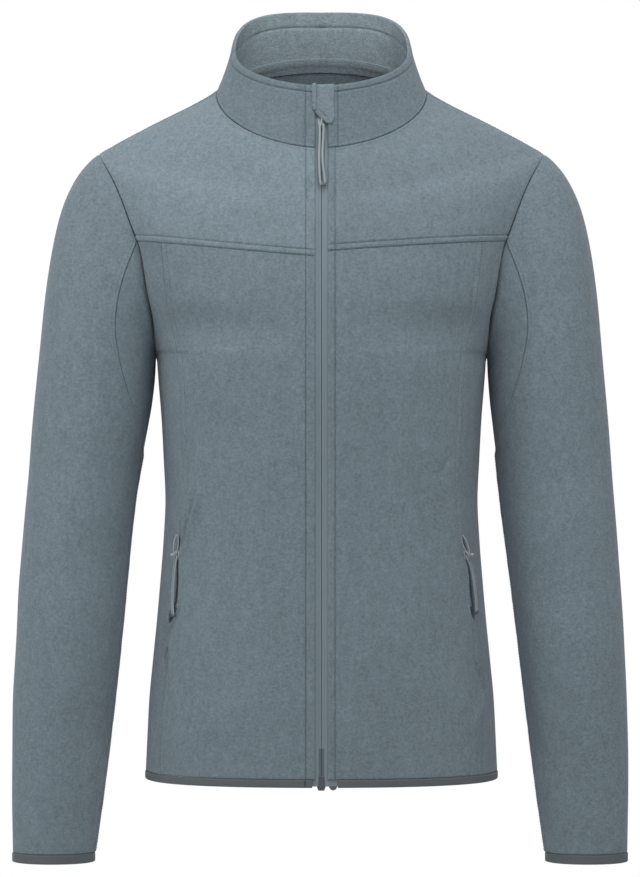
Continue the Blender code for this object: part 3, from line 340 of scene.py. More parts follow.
# The right sleeve hangs a little slimmer at the elbow, the left one fuller.
ELBOW_SLACK, ELBOW_RING, ELBOW_REACH = {RIGHT: 0.0026, LEFT: -0.00208}, 7.2, 1.6
GUSSET = Table(("ring", "half_angle"), (
    (0, 95.8), (1, 88), (2, 80), (3, 72), (4, 59), (5, 36), (5.6, 14), (5.75, 7), (5.8, 0)))
GUSSET_TIP_RING = 5.80
COLLAR_RIM = {
    "front": mm(((0, -87, 6.8), (45, -87, 9.5), (88.5, -46, 24), (88.5, -8, 50))),
    "back": mm(((0, 60, 93.7), (62, 60, 95), (89, 36, 87), (88.5, -8, 50)))}
print("tables read; side half width at the waist", round(float(SIDE.at(-0.400, "half_width")), 4))

# %% [markdown]
# ## Soft folds
# Filled out on a form, fleece hardly creases: it bulges and sinks in long soft folds where it
# is pulled, as above a pocket, across the hollow of the back and at the elbows. Each fold is a
# line with a width and a height. The first rows of each table are the frame's own. The rest
# are finer, and only the cloth has them.

# %% Folds
BODY_FOLDS = {               # x1, z1, x2, z2, half width, height, mm
    "front": mm((
        (-136, -432, -112, -362, 13, 3.2), (-108, -400, -85, -330, 18, -1.6),
        (132, -425, 105, -352, 15, 2.2), (150, -625, 100, -560, 20, 2.6),
        (-145, -640, -85, -600, 22, 2.2), (-133.5, -445, -117.5, -390, 2.4, 2),
        (-136.8, -444, -120.8, -388, 1.8, -1.8), (114, -374, 126.5, -356, 2.6, -1.5),
        (149, -623, 160, -593, 5, 1.8), (153, -560, 160, -586, 1.8, -2.6),
        (142, -508, 154, -533, 2.2, 1.5), (-153.7, -524, -152.7, -569, 1.7, -3),
        (-148.5, -530, -149.5, -578, 2, 1.4))),
    "back": mm((
        (-110, -395, -20, -415, 20, -4), (120, -435, 30, -425, 20, -3.6),
        (-100, -470, 40, -480, 22, 3), (-105, -235, -50, -180, 26, -2.2),
        (107, -245, 52, -190, 26, -2)))}
SLEEVE_FOLD_UNITS = (100, 1, 100, 1, 1, 1000)
SLEEVE_FOLDS = {             # angle 1, ring 1, angle 2, ring 2, half width in rings, height, mm
    RIGHT: np.array((
        (110, 6.5, 50, 7.1, 0.55, -2.2), (150, 7.9, 90, 8.3, 0.45, -2.4),
        (40, 8.6, 120, 9.4, 0.45, 2.6), (150, 10.2, 60, 10.9, 0.4, -2.2),
        (-150, 6.6, -60, 7.2, 0.5, -3.4), (-140, 8.3, -60, 8, 0.4, -2.6),
        (-120, 10.4, -40, 10, 0.45, 2.4))) / SLEEVE_FOLD_UNITS,
    LEFT: np.array((
        (115, 6.7, 60, 7.4, 0.55, -2.2), (145, 8.3, 85, 8.6, 0.45, -2.2),
        (50, 9, 125, 9.8, 0.45, 2.4), (160, 10.6, 80, 11.2, 0.35, -2.6),
        (-150, 6.4, -70, 7.1, 0.5, -3.4), (-145, 8, -60, 8.2, 0.4, -2.6),
        (-110, 10.2, -50, 10.6, 0.45, 2.2))) / SLEEVE_FOLD_UNITS}


def fold_height(folds, x, y):
    """Height of all the folds at each place."""
    height = np.zeros(np.broadcast(x, y).shape)
    for x1, y1, x2, y2, half_width, depth in folds:
        run_x, run_y = x2 - x1, y2 - y1
        along = np.clip(((x - x1) * run_x + (y - y1) * run_y) / (run_x**2 + run_y**2), 0, 1)
        away = np.hypot(x1 + run_x * along - x, y1 + run_y * along - y)
        swell = 0.35 + 0.65 * np.sin(pi * (0.12 + 0.76 * along))      # low at its ends
        height += depth * np.exp(-(away / half_width) ** 2) * swell
    return height


print("folds:", sum(len(f) for f in BODY_FOLDS.values()), "on the body,",
      sum(len(f) for f in SLEEVE_FOLDS.values()), "on the sleeves")

# %% [markdown]
# ## The surfaces
# A worn jacket is a barrel with two tubes let into it. Each height of the body is one Bezier
# curve from the centre line to the side or the armhole, and each height of a sleeve is half an
# ellipse to the front and half to the back. The functions take whole arrays, so a panel of
# twenty thousand points is worked out at once.

# %% Small helpers
def mix(a, b, t):
    return a + (b - a) * t


def ease(t):
    """0 to 1 with soft ends."""
    t = np.clip(t, 0.0, 1.0)
    return t * t * (3 - 2 * t)


def points(x, y, z):
    """Three arrays or numbers as one array of points."""
    return np.stack(np.broadcast_arrays(x, y, z), axis=-1).astype(float)


def unit(vectors):
    return vectors / np.maximum(np.linalg.norm(vectors, axis=-1, keepdims=True), 1e-12)


def bezier(corners, t):
    a, b, c, d = corners
    t = np.asarray(t)[..., None]
    return a * (1 - t)**3 + b * (3 * (1 - t)**2 * t) + c * (3 * (1 - t) * t * t) + d * t**3


# %% Body surface
OUTWARD = (1, 1.6, 0)        # a place on the body times this points out of its oval
FOLDS_END_ACROSS, FOLDS_END_BELOW_NECK = 0.22, 0.03


def armhole_point(half, turn):
    """The armhole seam on the +X side: turn runs from 0 at the armpit to pi at the top."""
    rise = (1 - np.cos(turn)) / 2
    z = mix(ARMPIT_Z, SHOULDER_TIP_Z, rise)
    spread, reach = ARMHOLE_BACK_SPREAD, ARMHOLE_BACK
    if half == "front":
        spread, reach = 0.0, -ARMHOLE_FRONT
    x = ARMHOLE.at(z, "x") + spread * np.sin(turn)
    return points(x, mix(SIDE_LINE_Y, SHOULDER_TIP_Y, rise) + reach * np.sin(turn), z)


def outer_end(half, z):
    """Outer end of the body's row at height z, on the +X side."""
    z = np.asarray(z, float)
    side_line = points(SIDE.at(z, "half_width"), SIDE_LINE_Y, z)
    climb = np.clip((z - ARMPIT_Z) / (SHOULDER_TIP_Z - ARMPIT_Z), 0, 1)
    armhole = armhole_point(half, np.arccos(1 - 2 * climb))
    past_tip = (z - SHOULDER_TIP_Z) / (NECK_SIDE_Z - SHOULDER_TIP_Z)
    shoulder = points(SHOULDER.at(z, "x"), mix(SHOULDER_TIP_Y, NECK_SIDE_Y, past_tip), z)
    upper = np.where((z <= SHOULDER_TIP_Z)[..., None], armhole, shoulder)
    return np.where((z <= ARMPIT_Z)[..., None], side_line, upper)


def section(side, half, z):
    """The four points that shape the row at height z, on the +X side."""
    z = np.asarray(z, float)
    size = {name: BODY[half].at(z, name) for name in SECTION_COLUMNS[1:]}
    end = outer_end(half, z)
    mid_z = np.where(z <= ARMPIT_Z, z, size["mid_z"])
    if half == "front":
        mid_z = mid_z + side * YOKE_SKEW * np.exp(-((z - YOKE_Z) / YOKE_SKEW_REACH) ** 2)
    return (points(0.0, size["mid_y"], mid_z),
            points(size["out_x"], size["mid_y"], mid_z + size["out_z"]),
            points(end[..., 0] + size["arrive_x"], size["arrive_y"], z + size["arrive_z"]), end)


def body_point(side, half, across, z):
    """Outer face of the body. across runs from 0 at the centre line to 1 at the row's end."""
    point = bezier(section(side, half, z), across)
    point[..., 0] *= side
    fade = ease((1 - across) / FOLDS_END_ACROSS) * ease((NECK_SIDE_Z - z) / FOLDS_END_BELOW_NECK)
    push = fold_height(BODY_FOLDS[half], point[..., 0], point[..., 2]) * fade
    return point + unit(point * OUTWARD) * push[..., None]


def find_across(curve, wanted_x):
    """Where on each row the distance from the centre line is wanted_x, by halving."""
    shape = np.shape(bezier(curve, 0.0))[:-1]
    low, high = np.zeros(shape), np.ones(shape)
    for _ in range(32):
        middle = (low + high) / 2
        point = bezier(curve, middle)
        short = np.abs(point[..., 0]) < wanted_x(point[..., 2])
        low, high = np.where(short, middle, low), np.where(short, high, middle)
    return (low + high) / 2


# %% Upright lines
# The panels meet on upright lines. Each one is kept as its place across the body at many heights.
Z_SAMPLES = np.linspace(HEM_Z, NECK_SIDE_Z, 800)
SEAM_PLACE_AT_NECK = 0.75
UPRIGHTS = {}
for side in SIDE_NAMES:
    for half, seam in SIDE_SEAMS.items():
        below_yoke = section(side, half, np.minimum(Z_SAMPLES, YOKE_Z))
        at_seam = find_across(below_yoke, lambda z: seam.at(z, "x"))
        above = np.clip((Z_SAMPLES - YOKE_Z) / (NECK_SIDE_Z - YOKE_Z), 0, 1)
        UPRIGHTS[side, half, "seam"] = mix(at_seam, SEAM_PLACE_AT_NECK, above)
        UPRIGHTS[side, half, "zip"] = find_across(section(side, half, Z_SAMPLES),
                                                  lambda z: np.full_like(z, ZIP_SLOT))
        UPRIGHTS[side, half, "centre"] = np.zeros_like(Z_SAMPLES)
        UPRIGHTS[side, half, "end"] = np.ones_like(Z_SAMPLES)


def metres_across(point_at, across):
    """How many metres of cloth one unit of across takes up."""
    return np.linalg.norm(point_at(across + 0.01) - point_at(across - 0.01), axis=-1) / 0.02


# The two panels part at the pocket. Shifts from the seam, in mm, towards the centre front.
POCKET_SLOTS = {
    RIGHT: Table(("z", "front", "side"), mm((
        (-524, 0, 0), (-520.5, 2, -1), (-517, 6.5, -2.8), (-510, 10.4, -1.7), (-500, 11.4, 6),
        (-480, 9, 4.3), (-462, 4.8, 0.8), (-456, 3.8, -1.8), (-448, 2.2, -3.4),
        (-440, 0.8, -3.4), (-435, 0, 0)))),
    LEFT: Table(("z", "front", "side"), mm((
        (-520, 0, 0), (-516.5, 3.2, -1.4), (-512, 5.4, -3), (-500.8, 4.4, -5),
        (-489.5, 3, -4.5), (-478, 0.4, -3.5), (-462, 0, -3), (-454, 0.2, -5.2),
        (-446, 0.8, -4.4), (-439, 1.6, -1.6), (-435, 0, 0))))}
for side, slot_sizes in POCKET_SLOTS.items():
    curve, at_seam = section(side, "front", Z_SAMPLES), UPRIGHTS[side, "front", "seam"]
    width = metres_across(lambda across: bezier(curve, across), at_seam)
    for name in ("front", "side"):
        shift = slot_sizes.at(Z_SAMPLES, name)
        UPRIGHTS[side, "front", f"slot_{name}"] = at_seam - shift / width


# %% Collar and sleeves
COLLAR_HOLLOW = -0.0012
LEAN_START_RING, LEAN_RINGS = 2, 6
TUCK_REACH, TUCK_DEPTH, TUCK_RINGS = 0.0030, 0.0026, 0.55


def collar_point(side, half, across, height):
    """Outer face of the collar, from the neck seam (0) to the upper edge (1)."""
    neck = body_point(side, half, across, np.full(np.shape(across), NECK_SIDE_Z))
    rim_place = across
    if half == "front":
        neck_start = UPRIGHTS[side, half, "zip"][-1]
        rim_start = ZIP_SLOT / (3 * COLLAR_RIM["front"][1][0])
        rim_place = rim_start + (across - neck_start) * (1 - rim_start) / (1 - neck_start)
    rim = bezier(COLLAR_RIM[half], rim_place)
    rim[..., 0] *= side
    height = np.asarray(height)[..., None]
    hollow = COLLAR_HOLLOW * np.sin(pi * height)
    return mix(neck, rim, height) + unit(neck * (1, 1, 0)) * hollow


def sleeve_point(side, angle, ring):
    """Outer face of a sleeve. angle: 0 outer line, 180 under the arm, negative to the back."""
    angle, ring = np.broadcast_arrays(angle, ring)
    is_front = angle >= 0

    def ellipse(at_ring):
        size = {name: SLEEVE.at(at_ring, name) for name in SLEEVE_COLUMNS[1:]}
        lean = LEFT_SLEEVE_LEAN * ease((at_ring - LEAN_START_RING) / LEAN_RINGS) * (side == LEFT)
        outer = points(size["outer_x"] - lean, size["mid_y"], size["outer_z"])
        slack = ELBOW_SLACK[side] * np.exp(-((at_ring - ELBOW_RING) / ELBOW_REACH) ** 2)
        inner = points(size["inner_x"] - lean + slack, size["mid_y"], size["inner_z"])
        reach = np.where(is_front, -size["front"], size["back"])
        reach = reach * np.sin(np.radians(np.abs(angle)))
        centre = (outer + inner) / 2
        sideways = (outer - inner) / 2 * np.cos(np.radians(angle))[..., None]
        return centre, centre + sideways + points(0.0, reach, 0.0)

    turn = np.radians(180 - np.abs(angle))
    armhole = np.where(is_front[..., None], armhole_point("front", turn),
                       armhole_point("back", turn))
    centre, point = ellipse(ring)
    hold = 1 - ease(ring / ARMHOLE_BLEND_RINGS)
    point = point + (armhole - ellipse(np.zeros_like(ring))[1]) * hold[..., None]
    push = fold_height(SLEEVE_FOLDS[side], angle / 100, ring)
    push = push * ease(ring / 3) * ease((LAST_RING - ring) / 1.5)     # none at the two ends,
    push = push * ease((180 - np.abs(angle)) / 25)                    # nor under the arm
    point = point + unit(point - centre) * push[..., None]
    return point * (side, 1, 1)


def tucked_sleeve_point(side, angle, ring):
    """The sleeve's face, drawn in under the body's edge at the armhole's lower half."""
    angle, ring = np.broadcast_arrays(angle, ring)
    reach = ease((np.abs(angle) - 80) / 30) * (1 - ease(ring / TUCK_RINGS))
    depth = reach * (1 - ease((np.abs(angle) - 128) / 26))
    point = sleeve_point(side, angle, ring)
    towards_body = unit(sleeve_point(side, angle, np.zeros_like(ring))
                        - sleeve_point(side, angle, np.full_like(ring, 0.4)))
    beside = np.where(angle >= 179.5, -1.0, 1.0)
    around = sleeve_point(side, angle + 0.5 * beside, ring) - point
    into = unit(np.cross(towards_body, around))
    inside = points(side * 0.20, 0.0, -0.20) - point
    into = into * np.sign(np.einsum("...i,...i->...", into, inside))[..., None]
    return (point + towards_body * (TUCK_REACH * reach)[..., None]
            + into * (TUCK_DEPTH * depth)[..., None])


print("body depth at the chest, mm:",
      round(1000 * float(BODY["back"].at(-0.2, "mid_y") - BODY["front"].at(-0.2, "mid_y")), 1))

# %% [markdown]
# ## Sewn edges
# What makes cloth read as sewn is how its edges behave. At a plain seam both panels roll down
# into the join. At a topstitched seam the turned-in allowance makes a low ridge, held down by
# one or two rows of stitches. At a zip the cloth is folded back, so its edge is round. Each
# kind of edge is a short record: how far it rolls, where stitches pull it down, and where the
# layers beneath lift it.

# %% Kinds of edge
def edge(rolls, dips=(), lifts=(), stitches=(), inner_dips=()):
    """All in mm. rolls: width of the rolled edge. dips: (distance, depth, half width), on the
    outer or the inner face. lifts: (from, to, height). stitches: distance of each row."""
    return {"rolls": rolls, "dips": dips, "lifts": lifts, "stitches": stitches,
            "inner_dips": inner_dips}


def zip_edge(row, fold, flat):
    """The folded edge beside the zip: a round fold, a flat allowance and a row of stitches."""
    return edge(1.25, ((row, 1.6, 0.55),), ((0.8, fold, 0.50), (fold, row, flat)), (row,))


EDGES = {
    "plain": edge(1.0), "seam": edge(1.1), "hem": edge(1.4), "band_edge": edge(1.3),
    "rolled": edge(1.6), "tape_edge": edge(0.3), "armhole_sleeve": edge(2.4),
    "armhole_body": edge(1.5, ((3.6, -0.55, 2.4),)),
    "ridge": edge(0.8, ((0.8, 0.45, 0.40), (5.9, 1.05, 0.60)), ((0.9, 5.8, 0.70),), (1.4, 5.1)),
    "side_ridge": edge(0.7, ((5.6, 0.40, 0.60),), ((0.2, 2.8, 0.70), (2.8, 5.4, 0.30)),
                       (1.2, 4.9)),
    "neck": edge(1.2, ((2.2, 0.35, 0.5),), ((0.6, 2.2, 0.15),), (2.2,)),
    "zip_edge": zip_edge(10.0, 3.4, 0.20), "zip_edge_right": zip_edge(9.2, 3.4, 0.20),
    "zip_edge_left": zip_edge(7.1, 3.0, 0.25),
    "rim": edge(1.75, ((7.0, 1.3, 0.6),), ((1.0, 7.0, 0.35),), (7.0,), ((15.5, 1.1, 0.8),)),
    "bound": edge(0.7, ((4.7, 1.0, 0.42),), ((0.5, 4.6, 0.85),), (3.9,)),
    "tape_fold": edge(0.35, ((2.3, 0.16, 0.3),), ((0.1, 2.2, 0.12),)),
}
# Distances from an edge, in mm, at which a panel has a row or a column of points.
FINE = (0, 0.2, 0.5, 0.9, 1.5, 2.6)
RIDGED = (0, 0.2, 0.5, 0.9, 1.4, 2.2, 3.4, 4.6, 5.2, 5.8, 6.4, 7.2, 8.6)
ZIPPED = (0, 0.15, 0.4, 0.8, 1.3, 2.4, 3.4, 4.6, 5.8, 6.5, 7.1, 7.7, 8.6, 9.2, 9.6, 10.0, 10.4,
          11.0, 13.0)
RIMMED = (0, 0.15, 0.4, 0.8, 1.3, 1.8, 3.0, 4.8, 5.8, 6.5, 7.0, 7.5, 8.2, 9.6, 12.0, 14.0, 14.8,
          15.5, 16.2, 17.0)
BESIDE_POCKET = RIDGED + tuple(10.0 + 1.4 * step for step in range(17))
OPEN = (0,)                  # the panel runs on into its neighbour
ROUNDED_OVER = 0.7           # mm over which a lift begins and ends


def edge_depth(kind, distance):
    """How far the face lies below the plain surface, at a distance from an edge, in metres."""
    distance = distance / MM
    depth = np.zeros_like(distance)
    for place, amount, half_width in EDGES[kind]["dips"]:
        depth += amount * np.exp(-((distance - place) / half_width) ** 2)
    for start, stop, height in EDGES[kind]["lifts"]:
        depth -= (height * ease((distance - start) / ROUNDED_OVER)
                  * ease((stop - distance) / ROUNDED_OVER))
    return depth * MM


def roll_share(kind, distance):
    """1 at the edge itself, falling to 0 where the cloth lies flat again, as a round shoulder."""
    reach = np.clip(1 - distance / (EDGES[kind]["rolls"] * MM), 0, 1)
    return 1 - np.sqrt(np.maximum(1 - reach**2, 0))


print("kinds of edge:", ", ".join(EDGES))

# %% [markdown]
# ## Laying out a panel
# A panel's mesh needs few points in the open and many beside its edges. Rows and columns are
# spaced by true length on the surface, so a ridge six millimetres wide stays six millimetres
# wide from one end to the other.

# %% Panel net
LAYOUT_LINES = 161
NEAR_SHARE = 0.7             # the fine points by both ends take up no more than this of a line


def run_lengths(net, axis):
    """Length along the net's lines from their start to each point."""
    steps = np.linalg.norm(np.diff(net, axis=axis), axis=-1)
    start = np.zeros_like(np.take(steps, [0], axis=axis))
    return np.concatenate([start, np.cumsum(steps, axis=axis)], axis=axis)


def stations(lengths, near, count, far):
    """Places along lines of these lengths: fine ones by each end and even ones between."""
    near, far = np.array(near) * MM, np.array(far) * MM
    share = np.minimum(1, NEAR_SHARE * lengths / (near[-1] + far[-1] + 1e-9))
    low, high = near[-1] * share, lengths - far[-1] * share
    even = low + (high - low) * np.linspace(0, 1, count + 2)[1:-1, None]
    return np.concatenate([near[:, None] * share, even, lengths - far[::-1, None] * share])


def lay_out(surface, rows, cols):
    """A grid of points on a surface of u and v. rows and cols are (near, count, far)."""
    fine = np.linspace(0, 1, LAYOUT_LINES)
    u, v = np.meshgrid(fine, fine)
    up = run_lengths(surface(u, v), 0)
    heights = stations(up[-1], *rows)
    v_rows = np.stack([np.interp(heights[:, k], up[:, k], fine) for k in range(len(fine))], axis=1)
    along = run_lengths(surface(np.broadcast_to(fine, v_rows.shape), v_rows), 1)
    places = stations(along[:, -1], *cols)
    u_net = np.stack([np.interp(places[:, i], along[i], fine) for i in range(len(v_rows))])
    v_net = np.stack([np.interp(u_net[i], fine, v_rows[i]) for i in range(len(v_rows))])
    return surface(u_net, v_net)


def net_normals(net, turned):
    """Directions out of the cloth at each point of a net."""
    normals = np.cross(np.gradient(net, axis=1), np.gradient(net, axis=0))
    flat = np.linalg.norm(normals, axis=-1) < 1e-14
    for row in np.nonzero(flat.any(axis=1))[0]:
        inner = row - 1 if row else row + 1
        normals[row][flat[row]] = normals[inner][flat[row]]
    return unit(-normals if turned else normals)


print("a 150 mm row gets", len(stations(np.array([0.150]), RIDGED, 30, ZIPPED)), "columns")

# %% [markdown]
# ## Making a sheet
# A sheet is an outer and an inner face that meet at half depth along every cut edge, which
# gives round edges without any extra faces. Where two patches of one panel meet, they share
# their points and their normals, so the cloth runs through without a mark.

# %% Sheet builder
EDGE_SLICES = {"left": np.s_[:, 0], "right": np.s_[:, -1],
               "bottom": np.s_[0, :], "top": np.s_[-1, :]}
INWARD = {"left": np.s_[:, 1], "right": np.s_[:, -2], "bottom": np.s_[1, :], "top": np.s_[-2, :]}
DENSE_STEP = 0.4 * MM        # between the points of a line that distances are taken from
PUCKER_WAVES = ((11, 0.3), (17, 1.9), (29, 4.1), (47, 2.2))     # length in mm, start
PUCKER_REACH = 0.010
MERGE_DISTANCE = 5e-6


def read_along(places, run, values):
    """Points or directions kept along a line, read at other places on it."""
    return np.stack([np.interp(places, run, values[:, k]) for k in range(3)], axis=1)


def resample(line, step):
    """The same line with points at even steps."""
    run = run_lengths(line, 0)
    return read_along(np.linspace(0, run[-1], max(int(run[-1] / step) + 1, 3)), run, line)


def distances(cloud, line):
    """Distance of each point from a line, and how far along the line it stands."""
    dense = resample(line, DENSE_STEP)
    tree = KDTree(len(dense))
    for index, point in enumerate(dense):
        tree.insert(point, index)
    tree.balance()
    nearest = np.array([tree.find(point)[1] for point in cloud])
    tangents = unit(np.gradient(dense, axis=0))[nearest]
    apart = cloud - dense[nearest]
    along = np.einsum("ij,ij->i", apart, tangents)
    inside = (nearest > 0) & (nearest < len(dense) - 1)
    square = np.einsum("ij,ij->i", apart, apart) - np.where(inside, along**2, 0)
    return np.sqrt(np.maximum(square, 0)), nearest * DENSE_STEP


def pucker(run):
    """The uneven pull of a row of stitches along its length, from -1 to 1."""
    return sum(np.sin(2 * pi * run / (pitch * MM) + phase)
               for pitch, phase in PUCKER_WAVES) / len(PUCKER_WAVES)


def hang(data, body="jacket"):
    """A mesh as an object that rides on a body."""
    made = bpy.data.objects.new(data.name, data)
    bpy.context.scene.collection.objects.link(made)
    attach(made, body)
    return made


class Sheet:
    """One piece of cloth: patches of net, joined, with the depth of every point worked out."""

    def __init__(self, name, patches, wall, sink=0.0, relief=None, puckers=0.0):
        self.name = name
        self.nets = [lay_out(p["surface"], p["rows"], p["cols"]) for p in patches]
        self.patches = patches
        self.normals = self.shared_normals()
        self.lines = []
        for patch, net, normals in zip(patches, self.nets, self.normals):
            for side_of_net, kind in patch["cut"].items():
                line = net[EDGE_SLICES[side_of_net]]
                tangent = unit(np.gradient(line, axis=0))
                inward = net[INWARD[side_of_net]] - line
                inward -= tangent * np.einsum("ij,ij->i", inward, tangent)[:, None]
                self.lines.append((kind, line, unit(inward), normals[EDGE_SLICES[side_of_net]]))
        cloud = np.concatenate([net.reshape(-1, 3) for net in self.nets])
        normals = np.concatenate([n.reshape(-1, 3) for n in self.normals])
        outer, inner = np.zeros(len(cloud)), np.full(len(cloud), wall)
        roll = self.on_cut_edge().astype(float)
        for kind, line, _, _ in self.lines:
            distance, run = distances(cloud, line)
            outer += edge_depth(kind, distance)
            if EDGES[kind]["stitches"]:
                outer += puckers * np.exp(-(distance / PUCKER_REACH) ** 2) * pucker(run)
            for place, amount, half_width in EDGES[kind]["inner_dips"]:
                inner -= amount * MM * np.exp(-((distance / MM - place) / half_width) ** 2)
            roll = np.maximum(roll, roll_share(kind, distance))
        if relief is not None:
            outer += relief(cloud)
        outer = mix(outer, wall / 2, roll)
        inner = mix(inner, wall / 2, roll)
        if callable(sink):
            sink = sink(cloud)
        self.outer = cloud - normals * (outer + sink)[:, None]
        self.inner = cloud - normals * (inner + sink)[:, None]

    def on_cut_edge(self):
        """True for every point that lies on a cut edge."""
        marks = []
        for patch, net in zip(self.patches, self.nets):
            mark = np.zeros(net.shape[:2], bool)
            for side_of_net in patch["cut"]:
                mark[EDGE_SLICES[side_of_net]] = True
            marks.append(mark.ravel())
        return np.concatenate(marks)

    def shared_normals(self):
        """Each net's normals. Where nets meet, the mean of them all."""
        normals = [net_normals(net, p["turned"]) for p, net in zip(self.patches, self.nets)]
        sums = {}
        for net, field in zip(self.nets, normals):
            for place in EDGE_SLICES.values():
                for point, normal in zip(net[place], field[place]):
                    sums.setdefault(tuple(np.round(point, 6)), {})[id(net)] = normal.copy()
        for net, field in zip(self.nets, normals):
            for place in EDGE_SLICES.values():
                means = [sum(sums[tuple(np.round(point, 6))].values()) for point in net[place]]
                field[place] = unit(np.array(means))
        return normals

    def make(self, material, slot, facing=None):
        """The sheet as an object, with both faces and every shared point merged."""
        faces, first = [], 0
        for patch, net in zip(self.patches, self.nets):
            count, width = net.shape[:2]
            index = first + np.arange(count * width).reshape(count, width)
            quads = np.stack([index[:-1, :-1], index[:-1, 1:], index[1:, 1:], index[1:, :-1]], -1)
            quads = quads.reshape(-1, 4)
            faces.append(quads[:, ::-1] if patch["turned"] else quads)
            first += count * width
        quads = np.concatenate(faces)
        data = bpy.data.meshes.new(self.name)
        data.from_pydata(np.concatenate([self.outer, self.inner]).tolist(), [],
                         np.concatenate([quads, quads[:, ::-1] + first]).tolist())
        data.materials.append(material)
        work = bmesh.new()
        work.from_mesh(data)
        if facing is not None:
            data.materials.append(facing)
            work.faces.ensure_lookup_table()
            for face in work.faces[len(quads):]:
                face.material_index = 1
        bmesh.ops.remove_doubles(work, verts=work.verts, dist=MERGE_DISTANCE)
        bmesh.ops.dissolve_degenerate(work, edges=work.edges, dist=1e-7)
        loose = [v for v in work.verts if not v.link_faces]
        bmesh.ops.delete(work, geom=loose, context="VERTS")
        open_edges = sum(1 for e in work.edges if len(e.link_faces) != 2)
        work.to_mesh(data)
        work.free()
        data.shade_smooth()
        print(self.name, len(data.polygons), "faces,", open_edges, "open edges")
        return hang(data)

    def flat_area(self):
        """Area of the plain nets, in square metres: what was cut out of the cloth."""
        total = 0.0
        for net in self.nets:
            a, b, c, d = net[:-1, :-1], net[:-1, 1:], net[1:, 1:], net[1:, :-1]
            total += np.linalg.norm(np.cross(c - a, d - b), axis=-1).sum() / 2
        return float(total)


# %% [markdown]
# Each sheet also works out its flat area and looks up how large a piece of cloth it was cut from,
# and it remembers its edges for the stitches that come later.

# %% Sewing a sheet on
CUT_SIZES = {                # width and length of the cloth, in metres
    "fleece_front_panel": (0.185, 0.530), "fleece_front_yoke": (0.225, 0.150),
    "fleece_side_panel": (0.170, 0.540), "fleece_back_panel": (0.330, 0.540),
    "fleece_back_yoke": (0.470, 0.210), "fleece_sleeve": (0.400, 0.700),
    "fleece_gusset": (0.200, 0.200), "fleece_collar": (0.500, 0.080),
    "fleece_garage": (0.022, 0.060), "hem_band": (0.960, 0.010), "cuff_band": (0.250, 0.010),
    "woven_tape": (0.0165, 0.745), "pocket_tape": (0.021, 0.078), "neck_tape": (0.300, 0.014),
    "woven_label": (0.0105, 0.020), "film_end": (0.0155, 0.037),
}
SHEETS = {}
PUCKER_DEPTH = 0.00012


def patch(surface, rows, cols, turned, **cut):
    return {"surface": surface, "rows": rows, "cols": cols, "turned": turned, "cut": cut}


def sew_sheet(sheet, material, slot, nodes, facing=None):
    """Make a sheet, let it stand for its CAD nodes, and work out its flat area and look up its cut
    size.
    """
    SHEETS[sheet.name] = sheet
    made = sheet.make(material, slot, facing)
    if nodes:
        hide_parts(*nodes)
    area = sheet.flat_area()
    width, length = CUT_SIZES[sheet.name.removesuffix("_right").removesuffix("_left")]
    return sheet


def sew_fleece(name, node, patches, material=fleece):
    """One panel of fleece, in the place of one CAD node."""
    sheet = Sheet(name, patches, FLEECE_WALL, puckers=PUCKER_DEPTH)
    return sew_sheet(sheet, material, "fleece", [node])


# %% [markdown]
# ## The fleece panels
# The fronts, the yokes, the side panels that carry the pockets, the back and its yoke, then the
# sleeves with the gusset that lets the arm rise, and the collar. Every cut edge names its kind,
# so the yoke seam gets its ridge on the yoke's side and the zip gets its folded edges.

# %% Body panels
def body_turned(side, half):
    return (side == RIGHT) != (half == "back")


def body_patch(side, half, lines, heights, rows, cols, **cut):
    """A patch of the body between two upright lines and between two heights."""
    def surface(u, v):
        z = mix(*heights, v)
        first, last = [np.interp(z, Z_SAMPLES, UPRIGHTS[side, half, line]) for line in lines]
        return body_point(side, half, mix(first, last, u), z)
    return patch(surface, rows, cols, body_turned(side, half), **cut)


YOKE_HEIGHTS, SHOULDER_HEIGHTS = (YOKE_Z, SHOULDER_TIP_Z), (SHOULDER_TIP_Z, NECK_SIDE_Z)
for side, name in SIDE_NAMES.items():
    beside_zip = f"zip_edge_{name}"
    sew_fleece(f"fleece_front_panel_{name}", f"front_panel_{name}", [
        body_patch(side, "front", ("zip", "slot_front"), (HEM_Z, YOKE_Z), (FINE, 195, FINE),
                   (ZIPPED, 30, BESIDE_POCKET),
                   left=beside_zip, right="side_ridge", bottom="hem", top="seam")])
    # The right front yoke takes the lighter copy of the fleece, which is painted light.
    sew_fleece(f"fleece_front_yoke_{name}", f"front_yoke_{name}", [
        body_patch(side, "front", ("zip", "end"), YOKE_HEIGHTS, (RIDGED, 16, OPEN),
                   (ZIPPED, 42, FINE), left=beside_zip, right="armhole_body", bottom="ridge"),
        body_patch(side, "front", ("zip", "end"), SHOULDER_HEIGHTS, (OPEN, 16, FINE),
                   (ZIPPED, 42, FINE), left=beside_zip, right="seam", top="neck")],
        painted_light_fleece if side == RIGHT else fleece)
    sew_fleece(f"fleece_side_panel_{name}", f"side_panel_{name}", [
        body_patch(side, half, (start, "end"), heights, rows, (FINE, count, FINE),
                   left="seam", **cut)
        for heights, rows, cut in (
            ((HEM_Z, ARMPIT_Z), (FINE, 150, OPEN), {"bottom": "hem"}),
            ((ARMPIT_Z, YOKE_Z), (OPEN, 28, FINE), {"right": "armhole_body", "top": "seam"}))
        for half, start, count in (("front", "slot_side", 30), ("back", "seam", 20))])

